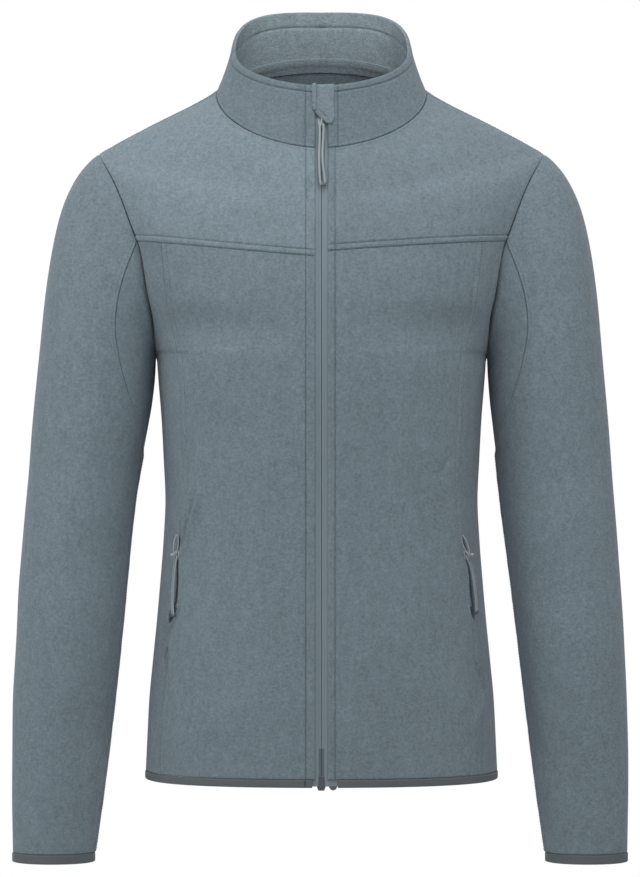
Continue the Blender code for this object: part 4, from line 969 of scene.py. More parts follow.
# %% Back and back yoke
sew_fleece("fleece_back_panel", "back_panel", [
    body_patch(side, "back", ("centre", "seam"), (HEM_Z, YOKE_Z), (FINE, 120, FINE),
               (OPEN, 36, RIDGED), right="ridge", bottom="hem", top="seam")
    for side in SIDE_NAMES])
sew_fleece("fleece_back_yoke", "back_yoke", [
    body_patch(side, "back", ("centre", "end"), heights, rows, (OPEN, 48, RIDGED), **cut)
    for side in SIDE_NAMES for heights, rows, cut in (
        (YOKE_HEIGHTS, (RIDGED, 22, OPEN), {"right": "armhole_body", "bottom": "ridge"}),
        (SHOULDER_HEIGHTS, (OPEN, 20, FINE), {"right": "ridge", "top": "neck"}))])

# %% Sleeves and gussets
UNDERARM_GAP_ANGLE = 0.15    # keeps the two edges of the underarm seam apart, in degrees


def sleeve_main(side):
    def surface(u, v):
        ring = v * LAST_RING
        half_angle = np.maximum(GUSSET.at(ring, "half_angle"), UNDERARM_GAP_ANGLE)
        return tucked_sleeve_point(side, mix(180 - half_angle, half_angle - 180, u), ring)
    return surface


def sleeve_gusset(side):
    def surface(u, v):
        ring = v * GUSSET_TIP_RING
        half_angle = GUSSET.at(ring, "half_angle")
        angle = half_angle - 180 - 2 * half_angle * u
        return tucked_sleeve_point(side, np.where(angle < -180, angle + 360, angle), ring)
    return surface


for side, name in SIDE_NAMES.items():
    sew_fleece(f"fleece_sleeve_{name}", f"sleeve_{name}", [
        patch(sleeve_main(side), (FINE, 160, FINE), (RIDGED, 76, RIDGED), side == LEFT,
              left="side_ridge", right="side_ridge", bottom="armhole_sleeve", top="hem")])
    sew_fleece(f"fleece_gusset_{name}", f"sleeve_gusset_{name}", [
        patch(sleeve_gusset(side), (FINE, 50, FINE), (FINE, 34, FINE), side == LEFT,
              left="seam", right="seam", bottom="armhole_sleeve")])

# %% Collar
COLLAR_PUCKER_DEPTH = 0.00010
FRONT_ENDS = {"front": (ZIPPED, {"left": "zip_edge"}), "back": (OPEN, {})}


def collar_patch(side, half):
    near_zip, cut = FRONT_ENDS[half]

    def surface(u, v):
        start = UPRIGHTS[side, half, "zip"][-1] if half == "front" else 0.0
        return collar_point(side, half, mix(start, 1.0, u), v)
    return patch(surface, (FINE, 14, RIMMED), (near_zip, 36, OPEN), body_turned(side, half),
                 **cut, bottom="neck", top="rim")


# The collar's outside takes the darker copy of the fleece, which is painted shade.
collar = Sheet("fleece_collar", [collar_patch(side, half) for side in SIDE_NAMES for half in BODY],
               COLLAR_WALL, puckers=COLLAR_PUCKER_DEPTH)
# The collar's inner faces take the lighter facing copy, which is painted light.
sew_sheet(collar, painted_shade_fleece, "fleece", ["collar"], facing=painted_light_facing)

# %% [markdown]
# ## Elastic bindings
# The hem and the cuffs are closed with a folded strip of elastic knit. It is ribbed across its
# width, because the rubber threads run along it and draw the knit together. The ribs are real
# relief, one every 1.1 mm. The hem's strip starts and ends beside the zip, where its turned end
# is stitched down.

# %% Bindings
RIB_PITCH, RIB_HEIGHT = 0.0011, 0.00014
HEM_RADIUS, HEM_ROUNDNESS, CUFF_RADIUS = 0.165, 1.4, 0.038      # of the ovals the ribs go round
HEM_BINDING_START = {RIGHT: 0.0090, LEFT: 0.0158}
HEM_JOIN_X = -0.0158
NEAR_JOIN = (0, 0.2, 0.5, 0.9, 1.5, 2.6, 4.0, 5.2, 5.9, 6.3, 6.6, 6.9, 7.2, 7.6, 8.2, 9.0)
BAND_TOP, BAND_FOOT = (0, 0.4, 0.9, 1.5), (0, 0.3, 0.7, 1.2, 1.7)
HEM_ENDS = {"front": (NEAR_JOIN, {"left": "plain"}), "back": (OPEN, {})}


def ribs(x, y, radius):
    """Relief of the ribs at a place round the band's middle."""
    return RIB_HEIGHT * np.cos(2 * pi * np.arctan2(y, x) * radius / RIB_PITCH)


def join_line(cloud):
    """A groove across the band at its join, with the turned end a little thicker."""
    beside = (cloud[:, 0] - HEM_JOIN_X) / MM
    thicker = 0.35 * ease(beside / 0.8) * ease((8 - beside) / 2)
    return (1.8 * np.exp(-(beside / 0.55) ** 2) - thicker) * MM * (cloud[:, 1] < 0)


def hem_patch(side, half):
    near_join, cut = HEM_ENDS[half]
    start = 0.0
    if half == "front":
        start = float(find_across(section(side, half, HEM_Z),
                                  lambda z: np.full_like(z, HEM_BINDING_START[side])))

    def surface(u, v):
        point = body_point(side, half, mix(start, 1.0, u), np.full(np.shape(u), HEM_Z))
        point = point + unit(point * OUTWARD) * BINDING_PROUD
        point[..., 2] = HEM_Z - v * BINDING_HEIGHT
        return point
    return patch(surface, (BAND_TOP, 4, BAND_FOOT), (near_join, 430, OPEN),
                 not body_turned(side, half), **cut, bottom="band_edge", top="rolled")


hem_band = Sheet("hem_band", [hem_patch(side, half) for side in SIDE_NAMES for half in BODY],
                 BINDING_WALL, relief=lambda cloud: join_line(cloud) + ribs(
                     cloud[:, 0], cloud[:, 1] * HEM_ROUNDNESS, HEM_RADIUS))
sew_sheet(hem_band, binding, "binding", ["hem_binding"])

for side, name in SIDE_NAMES.items():
    cuff_x = side * float(SLEEVE.at(12, "outer_x") + SLEEVE.at(12, "inner_x")) / 2
    cuff_y = float(SLEEVE.at(12, "mid_y"))

    def cuff_face(u, v):
        edge_point = sleeve_point(side, mix(180.0, -180.0, u), np.full(np.shape(u), LAST_RING))
        out = unit(edge_point - points(cuff_x, cuff_y, edge_point[..., 2]))
        edge_point = edge_point + out * BINDING_PROUD
        edge_point[..., 2] -= v * CUFF_BINDING_HEIGHT
        return edge_point

    cuff_band = Sheet(f"cuff_band_{name}", [
        patch(cuff_face, (BAND_TOP, 5, BAND_FOOT), (OPEN, 420, OPEN), side == LEFT,
              bottom="plain", top="rolled")], BINDING_WALL,
        relief=lambda cloud: ribs(cloud[:, 0] - cuff_x, cloud[:, 1] - cuff_y, CUFF_RADIUS))
    sew_sheet(cuff_band, binding, "binding", [f"cuff_binding_{name}"])

# %% [markdown]
# ## Thread
# Stitches are what the eye looks for on a seam. Each one is a short arched piece of thread,
# 2.3 mm long in a 3 mm pitch, that rises out of the cloth and dives back into it. Every sheet
# remembers its cut edges, so a row is laid at a distance from an edge and then dropped onto the
# finished cloth by a ray.

# %% Stitches
STITCH_PITCH, STITCH_LENGTH, THREAD_RADIUS = 0.0030, 0.0023, 0.00026
STITCH_RINGS = ((-0.36, 0.02), (0.0, 0.16), (0.36, 0.02))   # place along, height over the cloth, mm
STITCH_SIDES, TIP_DEPTH = 5, 0.00020
RAY_START, RAY_LENGTH = 0.004, 0.012


def add_piece(name, shape, material, body="jacket", nodes=()):
    """One mesh from (points, faces), riding on its body."""
    vertices, faces = shape
    data = bpy.data.meshes.new(name)
    data.from_pydata([tuple(map(float, v)) for v in vertices], [],
                     [tuple(map(int, f)) for f in faces])
    data.validate()
    data.shade_smooth()
    data.materials.append(material)
    made = hang(data, body)
    if nodes:
        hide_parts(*nodes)


def row_of_stitches(tree, line, inward, normals, distance):
    """Points and faces of a row of stitches beside an edge, laid on the cloth."""
    run = run_lengths(line, 0)
    count = int((run[-1] - STITCH_PITCH) / STITCH_PITCH)
    places = STITCH_PITCH * (np.arange(count) + 0.5) + (run[-1] - count * STITCH_PITCH) / 2
    seats, outs = [], []
    for point, inside, out in zip(read_along(places, run, line),
                                  unit(read_along(places, run, inward)),
                                  unit(read_along(places, run, normals))):
        hit, normal, _, _ = tree.ray_cast(Vector(point + inside * distance + out * RAY_START),
                                          Vector(-out), RAY_LENGTH)
        if hit is not None:
            seats.append(hit)
            outs.append(normal)
    if len(seats) < 3:
        return np.zeros((0, 3)), []
    seats, outs = np.array(seats), np.array(outs)
    ahead = unit(np.gradient(seats, axis=0))
    beside = unit(np.cross(ahead, outs))
    angles = 2 * pi * np.arange(STITCH_SIDES)[:, None] / STITCH_SIDES
    spokes = outs[:, None] * np.cos(angles) + beside[:, None] * np.sin(angles)
    rings = [(seats + ahead * (along * STITCH_LENGTH) + outs * (height * MM))[:, None]
             + spokes * THREAD_RADIUS for along, height in STITCH_RINGS]
    tips = [(seats + ahead * (end * STITCH_LENGTH / 2) - outs * TIP_DEPTH)[:, None]
            for end in (-1, 1)]
    block = np.concatenate(rings + tips, axis=1)
    last, tail = (len(STITCH_RINGS) - 1) * STITCH_SIDES, len(STITCH_RINGS) * STITCH_SIDES
    pairs = [(k, (k + 1) % STITCH_SIDES) for k in range(STITCH_SIDES)]
    faces = [(first + k, first + n, first + n + STITCH_SIDES, first + k + STITCH_SIDES)
             for first in range(0, last, STITCH_SIDES) for k, n in pairs]
    for k, n in pairs:
        faces += [(n, k, tail), (last + k, last + n, tail + 1)]
    size = block.shape[1]
    return block.reshape(-1, 3), [tuple(i + seat * size for i in face)
                                  for seat in range(len(seats)) for face in faces]


def join(parts):
    """Several (points, faces) as one."""
    vertices, faces, first = [], [], 0
    for points_of_part, faces_of_part in parts:
        vertices.append(np.asarray(points_of_part, float).reshape(-1, 3))
        faces += [tuple(i + first for i in face) for face in faces_of_part]
        first += len(vertices[-1])
    return np.concatenate(vertices), faces


def tree_of(name):
    """A finished piece as a tree that rays can be cast at."""
    data = bpy.data.objects[name].data
    return BVHTree.FromPolygons([v.co for v in data.vertices], [p.vertices for p in data.polygons])


def stitch(sheet):
    """Lay every row of stitches that the sheet's edges ask for."""
    tree = tree_of(sheet.name)
    rows = [row_of_stitches(tree, line, inward, normals, distance * MM)
            for kind, line, inward, normals in sheet.lines
            for distance in EDGES[kind]["stitches"]]
    if rows:
        shape = join(rows)
        add_piece(f"stitches_{sheet.name}", shape, thread)
        print("stitches on", sheet.name, len(shape[0]) // (len(STITCH_RINGS) * STITCH_SIDES + 2))


for sheet in list(SHEETS.values()):
    stitch(sheet)

# %% [markdown]
# Two rows go where no cut edge asks for them: the collar's facing is stitched on the inside, a
# little lower than the rim's own row, and each side seam is barred just under the yoke.

# %% Facing stitches and bars
FACING_ROW = 0.0155
BAR_FROM_SEAM, BAR_FOOT_Z, BAR_TOP_Z = 0.018, -0.1655, -0.1505

collar_tree = tree_of("fleece_collar")
facing_rows = [row_of_stitches(collar_tree, line - normals * (COLLAR_WALL + RAY_START), inward,
                               -normals, FACING_ROW)
               for kind, line, inward, normals in collar.lines if kind == "rim"]
add_piece("facing_stitches", join(facing_rows), thread)

for side, name in SIDE_NAMES.items():
    bar_z = np.linspace(BAR_FOOT_Z, BAR_TOP_Z, 30)
    at_seam = np.interp(bar_z, Z_SAMPLES, UPRIGHTS[side, "front", "seam"])
    bar_line = body_point(side, "front", at_seam + BAR_FROM_SEAM, bar_z)
    bar_out = np.broadcast_to(unit(np.array([side * 0.35, -0.9, 0.0])), bar_line.shape)
    bar_in = np.broadcast_to(np.array([side * 1.0, 0.0, 0.0]), bar_line.shape)
    side_tree = tree_of(f"fleece_side_panel_{name}")
    bar = join([row_of_stitches(side_tree, bar_line, bar_in, bar_out, shift)
                for shift in (0.0, 0.0009)])
    add_piece(f"bar_stitches_{name}", bar, thread)
    print("bar", name, len(bar[0]))

# %% [markdown]
# ## The front zip
# It is a coil zip turned inside out: from the front only the two woven tapes show, meeting over
# the coil in a fine dark line. Each tape is a thin sheet behind the front's folded edge, and
# the coil is a real helix of nylon behind the tape, as one sees it from the inside.

# %% Tapes
NECK_BLEND_BELOW, NECK_BLEND = 0.008, 0.016
COIL_HALF_SPAN, COIL_SHOULDER, BESIDE_COIL = 0.0021, 0.0013, -0.0010


def front_face(side, from_centre, rise):
    """The face near the centre front. rise: 0 at the hem, 1 at the neck seam, 2 at the rim."""
    from_centre, rise = np.broadcast_arrays(np.asarray(from_centre, float),
                                            np.asarray(rise, float))
    z = mix(HEM_Z, NECK_SIDE_Z, np.clip(rise, 0, 1))
    across = np.interp(z, Z_SAMPLES, UPRIGHTS[side, "front", "zip"])
    across = across * np.abs(from_centre) / ZIP_SLOT
    body = body_point(side, "front", across, z)
    collar_face = collar_point(side, "front", across, np.clip(rise - 1, 0, 1))
    point = np.where((rise <= 1)[..., None], body, collar_face)
    point[..., 0] = side * from_centre
    point[..., 2] += np.minimum(rise, 0) * (NECK_SIDE_Z - HEM_Z)
    return point


def front_out(rise):
    """Direction out of the front on the centre line."""
    up = (front_face(RIGHT, 0.0, np.minimum(rise + 0.01, 2))
          - front_face(RIGHT, 0.0, rise - 0.01))
    return unit(np.stack([np.zeros_like(up[..., 0]), -up[..., 2], up[..., 1]], -1))


NECK_AT_ZIP_Z = float(front_face(RIGHT, ZIP_SLOT, 1.0)[2])
ZIP_FOOT_RISE, TAPE_TOP_RISE, SLIDER_RISE = -0.0100, 1.9125, 1.42
TAPE_SPAN = (0.00016, 0.0165)
TAPE_COLUMNS = (0, 0.15, 0.4, 0.8, 1.3, 1.9, 2.3, 2.7, 3.2)


def under_cloth(cloud):
    """How deep the tapes lie: behind one layer of fleece, or behind the thicker collar."""
    in_collar = ease((cloud[:, 2] - NECK_AT_ZIP_Z + NECK_BLEND_BELOW) / NECK_BLEND)
    return mix(FLEECE_WALL, COLLAR_WALL, in_collar) + CLEARANCE


def over_coil(cloud):
    """The coil behind lifts the tape's middle, and beside it the tape sinks back."""
    return BESIDE_COIL * ease((np.abs(cloud[:, 0]) - COIL_HALF_SPAN) / COIL_SHOULDER)


def strip(side, span, rises):
    """A strip beside the centre line, between two distances from it and two rises."""
    return lambda u, v: front_face(side, mix(*span, u), mix(*rises, v))


for side, name in SIDE_NAMES.items():
    zip_tape = Sheet(f"woven_tape_{name}", [
        patch(strip(side, TAPE_SPAN, (ZIP_FOOT_RISE, TAPE_TOP_RISE)), (FINE, 150, FINE),
              (TAPE_COLUMNS, 5, FINE), side == RIGHT,
              left="tape_fold", right="tape_edge", bottom="tape_edge", top="tape_edge")],
        TAPE_WALL, sink=under_cloth, relief=over_coil)
    sew_sheet(zip_tape, tape, "zip_tape", [f"zip_tape_{name}"])

# %% Coils
COIL_PITCH, COIL_STRAND = 0.0013, 0.00030
COIL_CENTRE, COIL_HALF_WIDTH, COIL_HALF_DEPTH = 0.0013, 0.00115, 0.00060
POINTS_PER_TURN, STRAND_SIDES = 8, 5


def tube(path, radius, sides, closed=False, up=None, braid=0.0, braid_pitch=0.003):
    """Points and faces of a cord or wire along a path, with an optional braided surface."""
    path = np.asarray(path, float)
    ahead = unit(np.roll(path, -1, 0) - np.roll(path, 1, 0) if closed
                 else np.gradient(path, axis=0))
    if up is None:
        up = (0, 0, 1) if abs(ahead[0][2]) < 0.9 else (1, 0, 0)
    ups = np.empty_like(path)
    carried = np.array(up, float)
    for i, direction in enumerate(ahead):
        carried = carried - direction * carried.dot(direction)
        carried = carried / np.linalg.norm(carried)
        ups[i] = carried
    across = np.cross(ahead, ups)
    turn = 2 * pi * np.arange(sides) / sides
    wave = 2 * pi * run_lengths(path, 0)[:, None] / braid_pitch
    strands = np.sin(3 * turn + wave) * np.sin(3 * turn - wave)
    radii = np.broadcast_to(np.asarray(radius, float).reshape(-1, 1), (len(path), 1))
    reach = radii * (1 + braid * strands)
    spokes = ups[:, None] * np.cos(turn)[:, None] + across[:, None] * np.sin(turn)[:, None]
    vertices = (path[:, None] + spokes * reach[..., None]).reshape(-1, 3)
    faces = []
    for i in range(len(path) if closed else len(path) - 1):
        a, b = i * sides, ((i + 1) % len(path)) * sides
        for k in range(sides):
            n = (k + 1) % sides
            faces.append((a + n, a + k, b + k, b + n))
    if not closed:
        faces.append(tuple(range(sides)))
        faces.append(tuple(reversed(range(len(vertices) - sides, len(vertices)))))
    return vertices, faces


coil_rises = np.linspace(ZIP_FOOT_RISE, SLIDER_RISE - 0.02, 400)
coil_outs = front_out(coil_rises)
for side, name in SIDE_NAMES.items():
    spine = front_face(side, COIL_CENTRE, coil_rises)
    deep = under_cloth(spine) + TAPE_WALL + CLEARANCE + COIL_HALF_DEPTH + COIL_STRAND
    spine = spine - coil_outs * deep[:, None]
    run = run_lengths(spine, 0)
    turns = int(run[-1] / COIL_PITCH)
    at = np.linspace(0, run[-1], turns * POINTS_PER_TURN)
    angle = 2 * pi * at / COIL_PITCH + (pi if side == LEFT else 0)   # so that the teeth mesh
    helix = (read_along(at, run, spine)
             + read_along(at, run, coil_outs) * (COIL_HALF_DEPTH * np.sin(angle))[:, None])
    helix[:, 0] += side * COIL_HALF_WIDTH * np.cos(angle)
    add_piece(f"nylon_coil_{name}", tube(helix, COIL_STRAND, STRAND_SIDES), coil_nylon,
              nodes=[f"zip_coil_{name}"])
    print("coil", name, turns, "turns")

# %% [markdown]
# ## Sliders and pulls
# A slider is a cast plate with a bail, a little bridge through which the pull hangs. The pulls
# are loops of round braided cord with their ends crimped in a small cap. Each loop is one closed
# tube whose surface carries the crossing strands of the braid, drawn coarser than real.

# %% Castings
def slab(outline, low, high, bevel):
    """A flat casting: an outline in the XY plane, from z low to z high, with rounded edges."""
    work = bmesh.new()
    base = work.faces.new([work.verts.new((x, y, low)) for x, y in outline])
    raised = bmesh.ops.extrude_face_region(work, geom=[base])
    top = [v for v in raised["geom"] if isinstance(v, bmesh.types.BMVert)]
    bmesh.ops.translate(work, verts=top, vec=(0, 0, high - low))
    bmesh.ops.recalc_face_normals(work, faces=work.faces)
    bmesh.ops.bevel(work, geom=list(work.edges), offset=bevel, segments=3, profile=0.6,
                    affect="EDGES", clamp_overlap=True)
    work.verts.index_update()
    result = (np.array([v.co for v in work.verts]),
              [tuple(v.index for v in f.verts) for f in work.faces])
    work.free()
    return result


def placed(parts, matrix):
    """Parts moved from a slider's own axes to the jacket's."""
    vertices, faces = join(parts)
    return vertices @ np.array(matrix.to_3x3()).T + np.array(matrix.translation), faces


def frame_on(point, out, up):
    """Axes on a face: X across, Y up along it, Z out of it."""
    point, out, up = Vector(point), Vector(out).normalized(), Vector(up)
    across = up.cross(out).normalized()
    up = out.cross(across).normalized()
    matrix = Matrix((across, up, out)).transposed().to_4x4()
    matrix.translation = point
    return matrix


def bail(half_length, foot, height, radius):
    """The bridge over a slider's plate, as a round bar."""
    path = [(0, half_length * cos(a), foot + height * max(sin(a), 0) ** 0.6)
            for a in np.linspace(0, pi, 15)]
    return tube(path, radius, 8, up=(1, 0, 0))


slider_out = front_out(np.array(SLIDER_RISE))
slider_seat = front_face(RIGHT, 0.0, SLIDER_RISE) - slider_out * (COLLAR_WALL + CLEARANCE)
slider_up = np.array((0, -slider_out[2], slider_out[1]))
front_slider_frame = frame_on(slider_seat, slider_out, slider_up * np.sign(slider_up[2]))
PLATE_OUTLINE = ((-0.0042, 0.0034), (-0.0034, 0.0052), (0, 0.0056), (0.0034, 0.0052),
                 (0.0042, 0.0034), (0.0034, -0.0030), (0.0027, -0.0054), (-0.0027, -0.0054),
                 (-0.0034, -0.0030))
PLATE_LIFT, PLATE_TOP, PLATE_BEVEL = 0.0003, 0.0016, 0.0004
BACK_OUTLINE = ((-0.0036, 0.0052), (0.0036, 0.0052), (0.0030, -0.0050), (-0.0030, -0.0050))
BACK_LOW, BACK_HIGH, BACK_BEVEL = -0.0044, -0.0034, 0.0003  # the plate behind the coils
POST_OUTLINE = ((-0.0009, 0.0050), (0.0009, 0.0050), (0.0006, 0.0022), (-0.0006, 0.0022))
POST_LOW, POST_BITE, POST_BEVEL = -0.0040, 0.0005, 0.0002   # the post joins the two plates
BAIL_HALF_LENGTH, BAIL_SINK, BAIL_HEIGHT, BAIL_WIRE = 0.0042, 0.0006, 0.0042, 0.00075
slider_parts = [
    slab(PLATE_OUTLINE, PLATE_LIFT, PLATE_TOP, PLATE_BEVEL),
    bail(BAIL_HALF_LENGTH, PLATE_TOP - BAIL_SINK, BAIL_HEIGHT, BAIL_WIRE),
    slab(BACK_OUTLINE, BACK_LOW, BACK_HIGH, BACK_BEVEL),
    slab(POST_OUTLINE, POST_LOW, PLATE_LIFT + POST_BITE, POST_BEVEL)]
add_piece("cast_slider", placed(slider_parts, front_slider_frame), lacquered_zinc,
          nodes=["zip_slider"])

# %% Cord pulls
PULL_RADIUS, POCKET_PULL_RADIUS = 0.00115, 0.000851
CORD_SIDES, BRAID_HEIGHT, BRAID_PITCH = 14, 0.07, 0.0042
CRIMP_TOP, CRIMP_FOOT, CRIMP_REACH, CRIMP_BEVEL = 0.0022, -0.0012, 0.0014, 0.0006
# Where each cord passes its bail, its across and its up direction, its radius, and half the
# width of its crimp.
PULL_FRAMES = {
    "zip_pull": ((0, -0.09281, -0.03182), (1, 0, 0), (0, 0.2996, 0.9541), PULL_RADIUS, 0.0026),
    "pocket_pull_right": ((-0.14215, -0.06163, -0.45477), (0.5309, -0.8371, -0.1318),
                          (0.1542, -0.0576, 0.9864), POCKET_PULL_RADIUS, 0.0021),
    "pocket_pull_left": ((0.14201, -0.06152, -0.45476), (0.5285, 0.8387, 0.1314),
                         (-0.1567, -0.0557, 0.9861), POCKET_PULL_RADIUS, 0.0021)}
PULL_ROUTES = {              # corners of each loop: across, up, out
    "zip_pull": mm((
        (0.2, 0.6, 0), (1.9, -1.6, 0.3), (1.7, -12, 0.5), (0.8, -31, 0.6), (1.7, -46, 0.5),
        (3.3, -60.5, 0.3), (1.2, -62.6, 0.2), (-1, -60.5, 0.3), (-2.1, -46, 0.5),
        (-2.3, -31, 0.6), (-1.7, -12, 0.5), (-1.6, -1.6, 0.3))),
    "pocket_pull_right": mm((
        (0, 0.6, 1.2), (1.5, -1.6, 1.4), (3.2, -14, 2), (5.6, -31, 2), (8.4, -46, 1.6),
        (11.6, -55.5, 1.2), (10, -57.5, 1.2), (8.6, -55.5, 1.2), (6.2, -46, 1.6),
        (3.2, -31, 2), (0.8, -14, 2), (-1.5, -1.6, 1.4))),
    "pocket_pull_left": mm((
        (0.6, 0.6, 1.2), (2.6, -1.6, 1.6), (5.2, -14, 2.2), (4.9, -31, 2.6), (3.7, -46, 2.4),
        (2.5, -54.5, 2), (1.3, -56.6, 2), (-0.1, -54.5, 2), (1.2, -46, 2.4), (2.5, -31, 2.6),
        (2.9, -14, 2.2), (-0.6, -1.6, 1.6)))}


def smooth_loop(corners, step=0.0005):
    """A closed curve through the corners, with points at even steps."""
    t = np.linspace(0, 1, 24, endpoint=False)[:, None]
    samples = []
    for p0, p1, p2, p3 in zip(np.roll(corners, 1, 0), corners, np.roll(corners, -1, 0),
                              np.roll(corners, -2, 0)):
        samples.append(0.5 * (2 * p1 + (p2 - p0) * t + (2 * p0 - 5 * p1 + 4 * p2 - p3) * t**2
                              + (3 * p1 - p0 - 3 * p2 + p3) * t**3))
    return resample(np.concatenate(samples + [corners[:1]]), step)[:-1]


for name, (place, across, up, radius, half) in PULL_FRAMES.items():
    across, up = Vector(across).normalized(), Vector(up)
    pull_frame = frame_on(place, across.cross(up), up)
    route = smooth_loop(PULL_ROUTES[name])
    cord_loop = tube(route, radius, CORD_SIDES, closed=True, up=(0, 0, 1), braid=BRAID_HEIGHT,
                     braid_pitch=BRAID_PITCH)
    add_piece(f"braided_{name}", placed([cord_loop], pull_frame), cord, body=name,
              nodes=[name])
    foot = route[route[:, 1].argmin()]
    crimp = slab([(foot[0] + x, foot[1] + y) for x, y in (
        (-half, CRIMP_TOP), (-half * 0.9, CRIMP_FOOT), (half * 0.9, CRIMP_FOOT),
        (half, CRIMP_TOP))], foot[2] - CRIMP_REACH, foot[2] + CRIMP_REACH, CRIMP_BEVEL)
    add_piece(f"crimp_{name}", placed([crimp], pull_frame), acetal, body=name)
print("pulls:", ", ".join(PULL_FRAMES))

# %% Zip foot
BOX_OUTLINE = np.array((     # the outlines' places across and up the front
    (-0.0038, -0.6650), (0.0032, -0.6650), (0.0036, -0.6712), (0.0042, -0.6720),
    (0.0042, -0.6748), (0.0026, -0.6790), (-0.0031, -0.6790), (-0.0047, -0.6748),
    (-0.0047, -0.6720), (-0.0041, -0.6712)))
PIN_OUTLINE = ((0.0072, -0.6686), (0.0112, -0.6680), (0.0151, -0.6686), (0.0154, -0.6748),
               (0.0141, -0.6776), (0.0112, -0.6790), (0.0084, -0.6776), (0.0069, -0.6748))
BOX_MIDDLE, PANEL_SHARE = np.array((0, -0.6718)), 0.62      # a raised panel on the box's face
STEM_OUTLINE = ((-0.0018, -0.6700), (0.0018, -0.6700), (0.0018, -0.6380), (-0.0018, -0.6380))
FOOT_DROP = 0.0012
BOX_DEPTH, STEM_DEPTH, PIN_DEPTH = 0.0040, 0.0052, 0.0026   # how far back each one reaches
FACE_PROUD, PANEL_PROUD = 0.0004, 0.0009
BOX_BEVEL, PANEL_BEVEL, PIN_BEVEL = 0.0005, 0.0003, 0.0006
foot_depth = -float(front_face(RIGHT, 0.0, 0.0)[1]) - FLEECE_WALL
upright_frame = Matrix(((1, 0, 0, 0), (0, 0, -1, 0), (0, 1, 0, -FOOT_DROP), (0, 0, 0, 1)))
box_parts = [
    slab(BOX_OUTLINE, foot_depth - BOX_DEPTH, foot_depth + FACE_PROUD, BOX_BEVEL),
    slab(BOX_MIDDLE + (BOX_OUTLINE - BOX_MIDDLE) * PANEL_SHARE, foot_depth,
         foot_depth + PANEL_PROUD, PANEL_BEVEL),
    slab(STEM_OUTLINE, foot_depth - STEM_DEPTH, foot_depth - BOX_DEPTH, PANEL_BEVEL)]
add_piece("moulded_zip_box", placed(box_parts, upright_frame), acetal,
          nodes=["zip_box"])
pin = slab(PIN_OUTLINE, foot_depth - PIN_DEPTH, foot_depth + FACE_PROUD, PIN_BEVEL)
add_piece("moulded_pin_end", placed([pin], upright_frame), binding,
          nodes=["zip_pin_end"])
print("zip foot stands at y", round(-foot_depth, 4))

# %% [markdown]
# The last few centimetres of each tape are stiffened with a film that is welded on, so that the
# pin goes into the box. The film is a little glossy, and its dark colour is painted shade, the
# shadow that falls on the zip's foot.

# %% Stiffened tape ends
FILM_SPAN, FILM_RISES = (0.00010, 0.0155), (-0.0098, 0.045)
FILM_WALL, FILM_PROUD = 0.0002, 0.00024
THIN = (0, 0.3)
ALL_ROUND = dict.fromkeys(("left", "right", "bottom", "top"), "tape_edge")
for side, name in SIDE_NAMES.items():
    film = Sheet(f"film_end_{name}", [
        patch(strip(side, FILM_SPAN, FILM_RISES), (THIN, 24, THIN), (THIN, 12, THIN),
              side == RIGHT, **ALL_ROUND)],
        FILM_WALL, sink=lambda cloud: under_cloth(cloud) - FILM_PROUD)
    sew_sheet(film, painted_shade_film, "zip_tape", [])

# %% [markdown]
# ## The garage
# A zip that ends at the chin needs a garage: a small flap of fleece, folded over the collar's
# edge, that hides the slider and keeps it off the skin. Its left and lower edges are turned
# under and stitched, which makes a thick round strip. The sheet is laid out along one path: up
# the front, round the rim, and down the inside.

# %% Garage
GARAGE_WALL, GARAGE_GAP = 0.0012, 0.0002
GARAGE_LEFT, GARAGE_RIGHT, GARAGE_INSIDE = -0.0095, 0.0125, 0.0100
GARAGE_DROP = Table(("x", "drop"), mm((
    (-9.5, 21.5), (-6, 26.2), (0, 32.5), (6, 37.2), (9.5, 37.8), (11.5, 36.2), (12.5, 34.2))))
rim_radius = COLLAR_WALL / 2 + GARAGE_GAP + GARAGE_WALL
quarter = rim_radius * pi / 2
collar_height = np.linalg.norm(front_face(LEFT, 0.0, 2.0) - front_face(LEFT, 0.0, 1.0))


def garage_face(u, v):
    x = mix(GARAGE_LEFT, GARAGE_RIGHT, u)
    path = mix(-GARAGE_DROP.at(x, "drop") - quarter, GARAGE_INSIDE + quarter, v)
    rise = 2 - (np.maximum(np.abs(path) - quarter, 0) + COLLAR_WALL / 2) / collar_height
    face = np.where((x >= 0)[..., None], front_face(LEFT, np.abs(x), rise),
                    front_face(RIGHT, np.abs(x), rise))
    out = front_out(rise)
    up = np.stack([np.zeros_like(x), -out[..., 2], out[..., 1]], -1)
    up = up * np.sign(up[..., 2:])
    turn = np.clip(path / rim_radius, -pi / 2, pi / 2)
    over_tape = (CLEARANCE + TAPE_WALL) * ease((path - quarter) / 0.004)
    return (face - out * (COLLAR_WALL / 2) + out * (-np.sin(turn) * rim_radius)[..., None]
            + up * (np.cos(turn) * rim_radius)[..., None] - out * over_tape[..., None])


garage = Sheet("fleece_garage", [
    patch(garage_face, (RIDGED, 40, FINE), (RIDGED, 12, FINE), False,
          left="bound", right="rolled", bottom="bound", top="plain")], GARAGE_WALL)
stitch(sew_sheet(garage, fleece, "fleece", ["zip_garage"]))

# %% [markdown]
# ## Pocket zips
# Each pocket hides in the front side seam. Its slot gapes a little, so the zip's tape shows
# inside, with the slider parked at the top and its cord hanging beside the slot.

# %% Pocket tapes
POCKET_TAPE_SPAN = {RIGHT: (0.015, -0.006), LEFT: (0.009, -0.010)}
POCKET_TAPE_Z = (-0.5040, -0.4290)
POCKET_TAPE_ENDS = (0, 0.3, 0.8)


def seam_face(side, shift, z):
    """The face beside the front side seam. shift is towards the centre front."""
    z, shift = np.broadcast_arrays(np.asarray(z, float), np.asarray(shift, float))
    at_seam = np.interp(z, Z_SAMPLES, UPRIGHTS[side, "front", "seam"])
    width = metres_across(lambda across: body_point(side, "front", across, z), at_seam)
    return body_point(side, "front", at_seam - shift / width, z)


